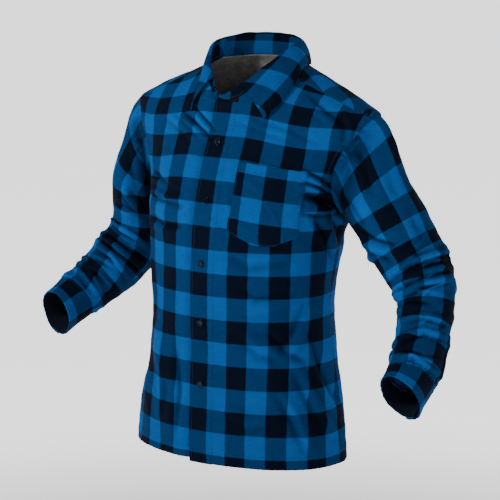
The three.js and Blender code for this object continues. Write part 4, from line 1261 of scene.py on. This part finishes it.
def collar_leaf():
    share = graded(LEAF_COLUMNS, (0.003, 0.006, 0.012))
    angles = lerp(LEAF_FRONT_LEFT, 360 - LEAF_FRONT_RIGHT, share)[::-1]
    parts = graded(LEAF_ROWS, (0.01, 0.02))[::-1, None]
    points = leaf_point(angles, parts)
    normals = grid_normals(points)
    length = arc_length(points)
    to_front = np.minimum(length, length[:, -1:] - length)
    down = arc_length(points.swapaxes(0, 1)).swapaxes(0, 1)
    swell = (swells(points, "leaf")
             + pucker(down - LEAF_STITCHES, length, 5, 0.25)
             + pucker(to_front - LEAF_STITCHES, down, 5, 0.25))
    near_edge = smooth(1 - down / down[-1:], 0.35, 1)
    ride = np.clip(body_height(points, normals), -1, 8) * near_edge
    shape = points + normals * (swell * smooth(down, -3, 8) + ride)[..., None]
    middle = length.shape[1] // 2
    behind = smooth(-np.cos(np.radians(angles)), 0.1, 0.8)
    flat = check_flat(length - length[:, [middle]] + LEAF_CHECK[0],
                      down + LEAF_CHECK[1] + LEAF_CHECK_BEHIND * behind)
    half = LEAF_WALL / 2
    piece = shell("collar_leaf", shape, flat, -half, half, [CLOTH, CLOTH], bevel=0.7)
    rows = np.arange(int(inset_rows(shape, LEAF_STITCHES, False).mean()), len(shape))
    cols = np.arange(LEAF_CORNER_COLUMNS, shape.shape[1] - LEAF_CORNER_COLUMNS)
    lines = [row_line(shape, LEAF_STITCHES, False, half, cols)]
    lines += [column_line(shape, LEAF_STITCHES, end, half, rows) for end in (False, True)]
    sew(piece, "collar_leaf", lines)


# Pocket

POCKET_ROWS = 48
POCKET_COLUMNS = 40
POCKET_CORNER_COLUMNS = 3
POCKET_MOUTH_SWELL = 1.6
POCKET_BELLY = 1.2
POCKET_CHECK_ACROSS = 24.3
POCKET_CHECK_UP = 18.5 + CHECK_UP


def pocket():
    down = graded(POCKET_ROWS, (0.008, 0.02))[::-1, None]
    share = graded(POCKET_COLUMNS, (0.01, 0.025))
    x = lerp(from_table(POCKET, down, "near_x"), from_table(POCKET, down, "far_x"), share)
    height = lerp(from_table(POCKET, down, "near_z"), from_table(POCKET, down, "far_z"), share)
    points = front_point(x, height)
    normals = grid_normals(points)
    across = arc_across(points) + points[:, :1, 0]
    up = arc_up(points)
    from_top = up[-1:] - up
    mouth = POCKET_MOUTH_SWELL * np.exp(-(from_top / 14) ** 2) * np.sin(np.pi * share) ** 2
    belly = POCKET_BELLY * np.sin(np.pi * share) * np.sin(np.pi * down)
    ripple = pucker(from_top - POCKET_MOUTH_STITCHES, across, 5, 0.25)
    lift = body_height(points, normals) + mouth + belly + ripple
    shape = points + normals * lift[..., None]
    flat = check_flat(across - POCKET["near_x"][0] - CHECK_START_ACROSS + POCKET_CHECK_ACROSS,
                      -from_top - CHECK_START_UP + POCKET_CHECK_UP)
    outer = POCKET_LIFT + WALL
    piece = shell("pocket", shape, flat, POCKET_LIFT, outer, [CLOTH, INSIDE])
    cols = np.arange(POCKET_CORNER_COLUMNS, shape.shape[1] - POCKET_CORNER_COLUMNS)
    lines = [
        row_line(shape, POCKET_MOUTH_STITCHES, True, outer),
        column_line(shape, POCKET_STITCHES, False, outer),
        column_line(shape, POCKET_STITCHES, True, outer),
        row_line(shape, POCKET_STITCHES, False, outer, cols),
    ]
    sew(piece, "pocket", lines)


# Sleeves and cuffs

CAP_ROWS = 16
SLEEVE_ROWS = 150
CAP_EASE = 0.35
FOLD_EASE = 0.06
FINE = 6
ELBOW = (120, 220)
GATHERED = (180, 280)
UNDER_SHARE = 0.02
FOLD_EVEN = 0.6
CAP_LEAVE = (0.85, -0.5)
START_OUTER_RISE = 0.55

# Heights of the wrinkles and the ripple above and below the elbow
SLEEVE_WRINKLES = (0.8, 3.2)
SLEEVE_RIPPLE = (0.3, 0.7)
CAP_STITCH_ROW = 1.2
SIDES = {"left": 1, "right": -1}
FAR_SIDE_SHIFT = (4, -9)
FRONT_RISES = [0, 8, 17, 27, 36, FRONT_NECK_RISE, 50, 58, 66, SHOULDER_SEAM_RISE]


def armhole_rises():
    """Signed rises round the armhole, evenly between those of the part's panels."""
    coarse = np.concatenate([
        FRONT_RISES,
        np.linspace(SHOULDER_SEAM_RISE, 90, 3)[1:],
        np.linspace(90, 180 - YOKE_SEAM[1], 5)[1:],
        np.linspace(180 - YOKE_SEAM[1], 180, 6)[1:],
    ])
    places = np.linspace(0, len(coarse) - 1, (len(coarse) - 1) * FINE + 1)
    return np.interp(places, np.arange(len(coarse)), coarse)[:-1]


def armhole_ring(side):
    rises = armhole_rises()
    angle = side * armhole_angle(rises)
    points = upper_point(angle, rises)
    normals = upper_normals(angle, rises)
    following = np.roll(points, -1, axis=0)
    away = unit(np.cross(following - np.roll(points, 1, axis=0), normals) * side)
    length = np.linalg.norm(following - points, axis=1)
    share = np.concatenate([[0], np.cumsum(length)[:-1]]) / length.sum()
    return {"rise": rises, "points": points, "normals": normals, "away": away, "share": share}


def sleeve_frames(table, side):
    table = dict(table, at=np.linspace(0, 1, len(table["x"])))

    def centre(at):
        return np.array([from_table(table, at, name) for name in "xyz"])

    outer = np.array([side, 0, START_OUTER_RISE])
    frames = []
    for at in np.linspace(0, 1, SLEEVE_ROWS):
        along = unit(centre(min(at + 0.01, 1)) - centre(max(at - 0.01, 0)))
        outer = unit(outer - along * (outer @ along))
        front = np.cross(along, outer) * side
        frames.append({"at": at, "centre": centre(at), "along": along, "outer": outer, "front": front,
                       "wide": from_table(table, at, "wide"), "deep": from_table(table, at, "deep")})
    return frames


def fold_height(folds, at, turn):
    total = np.zeros(np.shape(turn))
    for place, height, spread, slant, around in folds:
        facing = np.cos(np.radians(turn - around))
        share = FOLD_EVEN + (1 - FOLD_EVEN) * facing
        total += height * share * np.exp(-((at - place - slant * facing) / spread) ** 2)
    return total


def ring_points(ring, share, extra=0.0):
    turn = np.asarray(share) * 2 * np.pi
    out = -(ring["wide"] + extra) * np.cos(turn)
    ahead = (ring["deep"] + extra) * np.sin(turn)
    return ring["centre"] + out[..., None] * ring["outer"] + ahead[..., None] * ring["front"]


def sleeve_form(name):
    side = SIDES[name]
    armhole = armhole_ring(side)
    frames = sleeve_frames(LEFT_SLEEVE if side > 0 else RIGHT_SLEEVE, side)
    rings = []
    for ring in frames:
        ease = smooth(1 - ring["at"], 0, FOLD_EASE)
        folds = fold_height(SLEEVE_FOLDS[name], ring["at"], armhole["share"] * 360) * ease
        rings.append(ring_points(ring, armhole["share"], folds))
    end = rings[0]
    reach = CAP_EASE * np.linalg.norm(armhole["points"] - end, axis=1)[:, None]
    height = np.sin(np.radians(armhole["rise"]))[:, None]
    leave = armhole["away"] + armhole["normals"] * (1 - height)
    leave = unit(lerp(leave, np.array([side * CAP_LEAVE[0], 0, CAP_LEAVE[1]]), height ** 2))
    first = armhole["points"] + leave * reach
    second = end - frames[0]["along"] * reach
    parts = np.linspace(0, 1, CAP_ROWS)[:-1]
    cap = [bezier(armhole["points"], first, second, end, part) for part in parts]
    return np.array(cap + rings), armhole, frames


# Rings of the sleeve's end inside its cuff: distance ahead and inwards
TUCKED = [(0.9, 1.3), (5.5, 2.9)]


def tucked_end(ring, frame):
    inwards = unit(frame["centre"] - ring)
    return np.stack([ring + frame["along"] * ahead + inwards * inside for ahead, inside in TUCKED])


def sleeve_height(points, normals, along, seen_creases):
    """Height of the creases on a sleeve, stronger below the elbow and none at both ends."""
    toward = normals @ view_axes()[2]
    elbow = smooth(along, *ELBOW)
    ends = smooth(along, 0, 22) * smooth(along[-1] - along, 0, 8)
    near = smooth(toward, *SEEN_FACING) * creases(seen_at(points), seen_creases)
    far = smooth(-toward, *SEEN_FACING) * creases(seen_at(points) + FAR_SIDE_SHIFT, seen_creases)
    fine = (lerp(*SLEEVE_WRINKLES, elbow) * wrinkles(points * [1, 1, 1.6], 58, 43)
            + lerp(*SLEEVE_RIPPLE, elbow) * waves(points, 30, 47))
    return ends * (near + far + swells(points, "sleeve") + fine)


def sleeve(name, seen_creases, check_across, gathered):
    """A sleeve; `gathered` is the length of cloth taken up by the folds round the elbow."""
    side = SIDES[name]
    points, armhole, frames = sleeve_form(name)
    share = armhole["share"]
    if side > 0:
        points, share = points[:, ::-1], share[::-1]
    normals = grid_normals(points, True)
    step = np.linalg.norm(np.diff(points, axis=0), axis=-1).mean(axis=1)
    along = np.concatenate([[0], np.cumsum(step)])[:, None]
    height = sleeve_height(points, normals, along, seen_creases)
    round_ring = np.linalg.norm(np.roll(points, -1, axis=1) - points, axis=-1).sum(axis=1)[:, None]
    turn = np.unwrap(np.append(share, share[0] + (-1 if side > 0 else 1)) * 2 * np.pi) / (2 * np.pi)
    to_cuff = along[-1] - along
    height += pucker(along, share * round_ring, 7, 0.45)
    height += smooth(to_cuff, 0, 6) * pucker(to_cuff, share * round_ring, 12, 1.1)
    shape = points + normals * height[..., None]
    shape = np.concatenate([shape, tucked_end(shape[-1], frames[-1])])
    round_ring = np.append(round_ring, [round_ring[-1]] * len(TUCKED), axis=0)
    taken = along + gathered * smooth(along, *GATHERED)
    taken = np.append(taken, [taken[-1] + ahead for ahead, _ in TUCKED], axis=0)
    flat = check_flat((turn - 0.5) * round_ring * -side + check_across, -taken)
    piece = shell(f"sleeve_{name}", shape, flat, -HALF_WALL, HALF_WALL, [CLOTH, INSIDE], closed=True)
    under = np.argmin(np.abs(share - UNDER_SHARE))
    lines = [
        grid_line(shape, np.arange(len(shape)), under, HALF_WALL, True),
        grid_line(shape, CAP_STITCH_ROW, np.arange(shape.shape[1]), HALF_WALL, True),
    ]
    sew(piece, f"sleeve_{name}", lines)
    return {"points": shape, "share": share, "frames": frames, "flat": flat}


CUFF_LENGTH = 52
CUFF_COLUMNS = 150
CUFF_ROWS = 16
CUFF_LAP_GAP = 0.6
CUFF_LAP_RISE = (0.88, 0.99)
CUFF_CHECK = (12, 40)


def cuff_frame(last, end):
    along = unit(np.array(end["ahead"]))
    outer = unit(last["outer"] - along * (last["outer"] @ along))
    front = last["front"] - along * (last["front"] @ along)
    front = unit(front - outer * (front @ outer))
    return {"along": along, "outer": outer, "front": front, "centre": np.array(end["centre"], float),
            "wide": end["wide"], "deep": end["deep"]}


def cuff(name, frames):
    side = SIDES[name]
    last = frames[-1]
    finish = cuff_frame(last, CUFF_ENDS[name])
    share = graded(CUFF_COLUMNS) * (1 + CUFF_LAP)
    lap = (CUFF_WALL + CUFF_LAP_GAP) * smooth(share, *CUFF_LAP_RISE)
    start, end = (ring_points(ring, share + CUFF_START, lap) for ring in (last, finish))
    parts = lerp(0.01, 1, graded(CUFF_ROWS, (0.02, 0.05)))[:, None, None]
    points = lerp(start, end, parts)
    length = arc_length(points)
    down = parts[..., 0] * CUFF_LENGTH
    normals = grid_normals(points) * side
    swell = (swells(points, "cuff")
             + pucker(down, length, 6, 0.5)
             + pucker(CUFF_LENGTH - down, length, 5, 0.4)
             + 0.8 * np.sin(np.pi * parts[..., 0]))
    shape = points + normals * swell[..., None]
    flat = check_flat(length + CUFF_CHECK[0], CUFF_CHECK[1] - down)
    if side > 0:
        shape, flat = shape[:, ::-1], flat[:, ::-1]
    half = CUFF_WALL / 2
    # The cuff's inner faces are dark navy, painted shade
    piece = shell(f"cuff_{name}", shape, flat, -half, half, [CLOTH, PAINTED_SHADE_NAVY], bevel=0.8)
    lines = [
        row_line(shape, CUFF_STITCHES["sleeve"], False, half),
        row_line(shape, CUFF_STITCHES["wrist"], True, half),
        column_line(shape, CUFF_STITCHES["lap"], side < 0, half),
    ]
    sew(piece, f"cuff_{name}", lines)
    return finish


SLEEVE_PLACKET_ROWS = 44
SLEEVE_PLACKET_FACES = slice(14, 16)
SLEEVE_PLACKET_LIFT = HALF_WALL + 0.7
SLEEVE_PLACKET_STITCHES = 2.5
SLEEVE_PLACKET_CHECK = (0.18, 0.1)


def sleeve_placket(name, sleeve_data):
    """Binding over the slit, between two of the lines along the part's sleeve."""
    points, share = sleeve_data["points"], sleeve_data["share"]
    low, high = armhole_ring(SIDES[name])["share"][::FINE][SLEEVE_PLACKET_FACES]
    inside = np.nonzero((share >= low - 1e-6) & (share <= high + 1e-6))[0]
    rows = np.arange(len(points) - SLEEVE_PLACKET_ROWS, len(points) - 1)
    strip = points[rows][:, inside]
    flat = sleeve_data["flat"][rows][:, inside] + SLEEVE_PLACKET_CHECK
    outer = SLEEVE_PLACKET_LIFT + WALL
    piece = shell(f"sleeve_placket_{name}", strip, flat, SLEEVE_PLACKET_LIFT, outer, [CLOTH, INSIDE])
    lines = [column_line(strip, SLEEVE_PLACKET_STITCHES, end, outer) for end in (False, True)]
    lines.append(row_line(strip, SLEEVE_PLACKET_STITCHES, False, outer))
    sew(piece, f"sleeve_placket_{name}", lines)


# Buttons

# Section of the rim: distance from the middle and height
BUTTON_RIM = np.array([
    (4.3, 0.9), (4.6, 2.2), (5.2, 2.6), (5.8, 2.4), (6.2, 1.6), (6.0, 0.5), (5.2, 0.0), (3.6, 0.1),
])
BUTTON_SIDES = 48
HOLE_OFFSET = 1.25
HOLE_RADIUS = 0.62
HOLE_PLACES = [(x, y) for x in (-HOLE_OFFSET, HOLE_OFFSET) for y in (-HOLE_OFFSET, HOLE_OFFSET)]
PLATE_RADIUS = 4.45
PLATE_HALF_WALL = 0.45
PLATE_BEVEL = 0.12
PLATE_MIDDLE = 0.95
CIRCLE_POINTS = 24
BUTTON_LIFT = 0.7
THREAD_RADIUS = 0.3
THREAD_POINTS = 16
BUTTONHOLE_POINTS = 28
BUTTONHOLE_LENGTH = 14.0
BUTTONHOLE_HALF_WIDTH = 1.1
BUTTONHOLE_EDGE_RADIUS = 0.5


def basis(normal, up):
    """Axes across, up and out for a small piece that faces along a normal."""
    out = unit(np.asarray(normal, float))
    across = unit(np.cross(up, out))
    return np.stack([across, np.cross(out, across), out], axis=1)


def tube(path, radius, sides=6):
    """Vertices and faces of a closed loop of round thread through a path of points."""
    ahead = unit(np.roll(path, -1, axis=0) - np.roll(path, 1, axis=0))
    beside = unit(np.cross(ahead, np.array([0, 0, 1.0])))
    above = np.cross(beside, ahead)
    rings = [path + radius * (beside * math.cos(turn) + above * math.sin(turn))
             for turn in round_turns(sides)]
    vertices = np.stack(rings, axis=1).reshape(-1, 3)
    faces = []
    for ring in range(len(path)):
        for side in range(sides):
            a, b = ring * sides + side, ring * sides + (side + 1) % sides
            step = sides if ring < len(path) - 1 else -sides * (len(path) - 1)
            faces.append([a, b, b + step, a + step])
    return vertices, np.array(faces)


def loop_piece(name, path, radius, material, matrix, place):
    vertices, faces = tube(path, radius)
    piece = plain_mesh(name, vertices @ matrix.T + place, faces, material)
    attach(piece, "root")


def button_plate():
    """Mesh of the plate with its four holes, in millimetres on the Z axis."""
    curve = bpy.data.curves.new("button_plate", "CURVE")
    curve.dimensions = "2D"
    curve.fill_mode = "BOTH"
    curve.extrude = PLATE_HALF_WALL
    curve.bevel_depth = PLATE_BEVEL
    for x, y, radius in [(0, 0, PLATE_RADIUS)] + [(*place, HOLE_RADIUS) for place in HOLE_PLACES]:
        spline = curve.splines.new("POLY")
        spline.points.add(CIRCLE_POINTS - 1)
        for point, turn in zip(spline.points, round_turns(CIRCLE_POINTS)):
            point.co = (x + radius * math.cos(turn), y + radius * math.sin(turn), 0, 1)
        spline.use_cyclic_u = True
    holder = bpy.data.objects.new("button_plate", curve)
    bpy.context.scene.collection.objects.link(holder)
    graph = bpy.context.evaluated_depsgraph_get()
    mesh = bpy.data.meshes.new_from_object(holder.evaluated_get(graph))
    bpy.data.objects.remove(holder)
    return mesh


PLATE = button_plate()


def button(name, place, normal, up):
    """A dished four-hole button with a raised rim, and the thread that crosses it."""
    matrix = basis(normal, up)
    turns = round_turns(BUTTON_SIDES)
    radius, height = BUTTON_RIM[:, :1], BUTTON_RIM[:, 1:]
    rim = stack(radius * np.cos(turns), radius * np.sin(turns), height).reshape(-1, 3)
    count = len(BUTTON_RIM)
    faces = []
    for ring in range(count):
        for side in range(BUTTON_SIDES):
            a = ring * BUTTON_SIDES + side
            b = ring * BUTTON_SIDES + (side + 1) % BUTTON_SIDES
            c = (ring + 1) % count * BUTTON_SIDES + (side + 1) % BUTTON_SIDES
            d = (ring + 1) % count * BUTTON_SIDES + side
            faces.append([a, d, c, b])
    piece = plain_mesh(f"{name}_rim", rim @ matrix.T + place, np.array(faces), PLASTIC)
    plate = bpy.data.objects.new(f"{name}_plate", PLATE.copy())
    plate.data.materials.clear()
    plate.data.materials.append(PLASTIC)
    for vertex in plate.data.vertices:
        local = np.array(vertex.co) + [0, 0, PLATE_MIDDLE]
        vertex.co = (matrix @ local + place) * MM
    bpy.context.scene.collection.objects.link(plate)
    plate.data.shade_smooth()
    plate.data.set_sharp_from_angle(angle=math.radians(40))
    turn = round_turns(THREAD_POINTS)
    for letter, side in (("a", -HOLE_OFFSET), ("b", HOLE_OFFSET)):
        path = stack(side, (HOLE_OFFSET + 0.1) * np.cos(turn), PLATE_MIDDLE * (1 + np.sin(turn)))
        loop_piece(f"{name}_thread_{letter}", path, THREAD_RADIUS, DARK_THREAD, matrix, place)
    for part in (piece, plate):
        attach(part, "root")
    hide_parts(name)


def buttonhole(name, place, normal, up):
    """Worked edge of a buttonhole under its button, and the slit in it, dark navy as painted shade."""
    matrix = basis(normal, up)
    turn = round_turns(BUTTONHOLE_POINTS)
    straight = BUTTONHOLE_LENGTH / 2 - BUTTONHOLE_HALF_WIDTH
    along = BUTTONHOLE_HALF_WIDTH * np.sin(turn) + straight * np.sign(np.sin(turn))
    path = stack(BUTTONHOLE_HALF_WIDTH * np.cos(turn), along, 0.15)
    loop_piece(name, path, BUTTONHOLE_EDGE_RADIUS, DARK_THREAD, matrix, place)
    # The slit is dark navy, painted shade
    loop_piece(f"{name}_slit", path * [0.2, 0.96, 0.2], THREAD_RADIUS, PAINTED_SHADE_NAVY, matrix, place)


def seat(point, normal, form_point):
    """Place on the placket's outer face that its creases have moved."""
    height = body_height(form_point[None], normal[None])[0]
    return point + normal * (height + PLACKET_PROUD + PLACKET_WALL / 2)


def all_buttons(ends, sleeves):
    for index, height in enumerate(BUTTON_HEIGHTS, start=1):
        point = front_point(PLACKET_MIDDLE, height)
        normal = surface_normals(front_point, np.float64(PLACKET_MIDDLE), np.float64(height), 2, 4)
        place = seat(point, normal, point)
        buttonhole(f"buttonhole_{index}", place, normal, [0, 0, 1])
        button(f"button_{index}", place + normal * BUTTON_LIFT, normal, [0, 0, 1])
    normal = neck_outward(COLLAR_BUTTON_ANGLE)
    place = stand_point(COLLAR_BUTTON_ANGLE, 0.5) + normal * (STAND_WALL / 2 + 0.4)
    button("button_collar", place, normal, [0.3, 0, 1])
    for name, finish in ends.items():
        last = sleeves[name]["frames"][-1]
        share = CUFF_START + CUFF_LAP / 2
        out = CUFF_WALL * 1.5 + 2.1
        place = lerp(ring_points(last, share, out), ring_points(finish, share, out), 0.5)
        normal = unit(ring_points(last, share) - last["centre"])
        button(f"button_cuff_{name}", place, normal, last["along"])


# The shirt

front_panel("front_left", 1)
front_panel("front_right", -1)
placket_band()
back_panel()
yoke()
lining()
collar_stand()
collar_leaf()
pocket()
SLEEVE_DATA = {
    "left": sleeve("left", LEFT_SLEEVE_CREASES, 6, 51),
    "right": sleeve("right", RIGHT_SLEEVE_CREASES, 0, 30),
}
FINISHES = {}
for side_name, data in SLEEVE_DATA.items():
    FINISHES[side_name] = cuff(side_name, data["frames"])
    sleeve_placket(side_name, data)
all_buttons(FINISHES, SLEEVE_DATA)


# Floor, light and camera

FLOOR_HEIGHT = -1.25
FLOOR_HALF = 300
GLOW_REACH = (1.2, 2.6)
GLOW_STRENGTH = (0.1, 1.7)
WORLD_STRENGTH = 0.13
SENSOR_WIDTH = 36

# Lights: name, place and size in metres, and power in watts
LIGHTS = [
    ("key", (-0.95, -1.9, 1.15), 0.45, 40),
    ("fill", (2.9, -2.2, 0.4), 1.2, 9),
    ("top", (0.5, 1.4, 2.4), 1.4, 34),
]


def floor_paint():
    """White floor that glows a little away from the shirt, like a lit studio sweep."""
    make = Maker("floor_white")
    place = make.add("ShaderNodeTexCoord").outputs["Object"]
    away = make.add("ShaderNodeVectorMath", {0: place}, operation="LENGTH").outputs["Value"]
    glow = make.spread(away, *GLOW_REACH, *GLOW_STRENGTH)
    make.tree.links.new(glow, make.shader.inputs["Emission Strength"])
    return make.finish((0.9, 0.9, 0.9), 0.9, Emission_Color=(1, 1, 1, 1))


floor_mesh = bpy.data.meshes.new("floor")
floor_sides = [(-1, -1), (1, -1), (1, 1), (-1, 1)]
floor_corners = [(x * FLOOR_HALF, y * FLOOR_HALF, FLOOR_HEIGHT) for x, y in floor_sides]
floor_mesh.from_pydata(floor_corners, [], [(0, 1, 2, 3)])
floor = bpy.data.objects.new("floor", floor_mesh)
bpy.context.scene.collection.objects.link(floor)
floor_mesh.materials.append(floor_paint())

world = bpy.context.scene.world or bpy.data.worlds.new("studio")
bpy.context.scene.world = world
world.use_nodes = True
background = world.node_tree.nodes["Background"]
background.inputs["Color"].default_value = (1, 1, 1, 1)
background.inputs["Strength"].default_value = WORLD_STRENGTH


def area_light(name, place, size, power):
    light = bpy.data.lights.new(name, "AREA")
    light.size = size
    light.energy = power
    holder = bpy.data.objects.new(name, light)
    holder.location = place
    target = Vector(VIEW_TARGET * MM)
    holder.rotation_euler = (target - Vector(place)).to_track_quat("-Z", "Y").to_euler()
    bpy.context.scene.collection.objects.link(holder)


for light_row in LIGHTS:
    area_light(*light_row)

camera_data = bpy.data.cameras.new("camera")
camera_data.sensor_width = SENSOR_WIDTH
camera_data.lens = SENSOR_WIDTH * VIEW_DISTANCE / VIEW_FIELD
camera = bpy.data.objects.new("camera", camera_data)
toward = view_axes()[2]
camera.location = Vector((VIEW_TARGET + toward * VIEW_DISTANCE) * MM)
camera.rotation_euler = Vector(-toward).to_track_quat("-Z", "Y").to_euler()
bpy.context.scene.collection.objects.link(camera)
bpy.context.scene.camera = camera
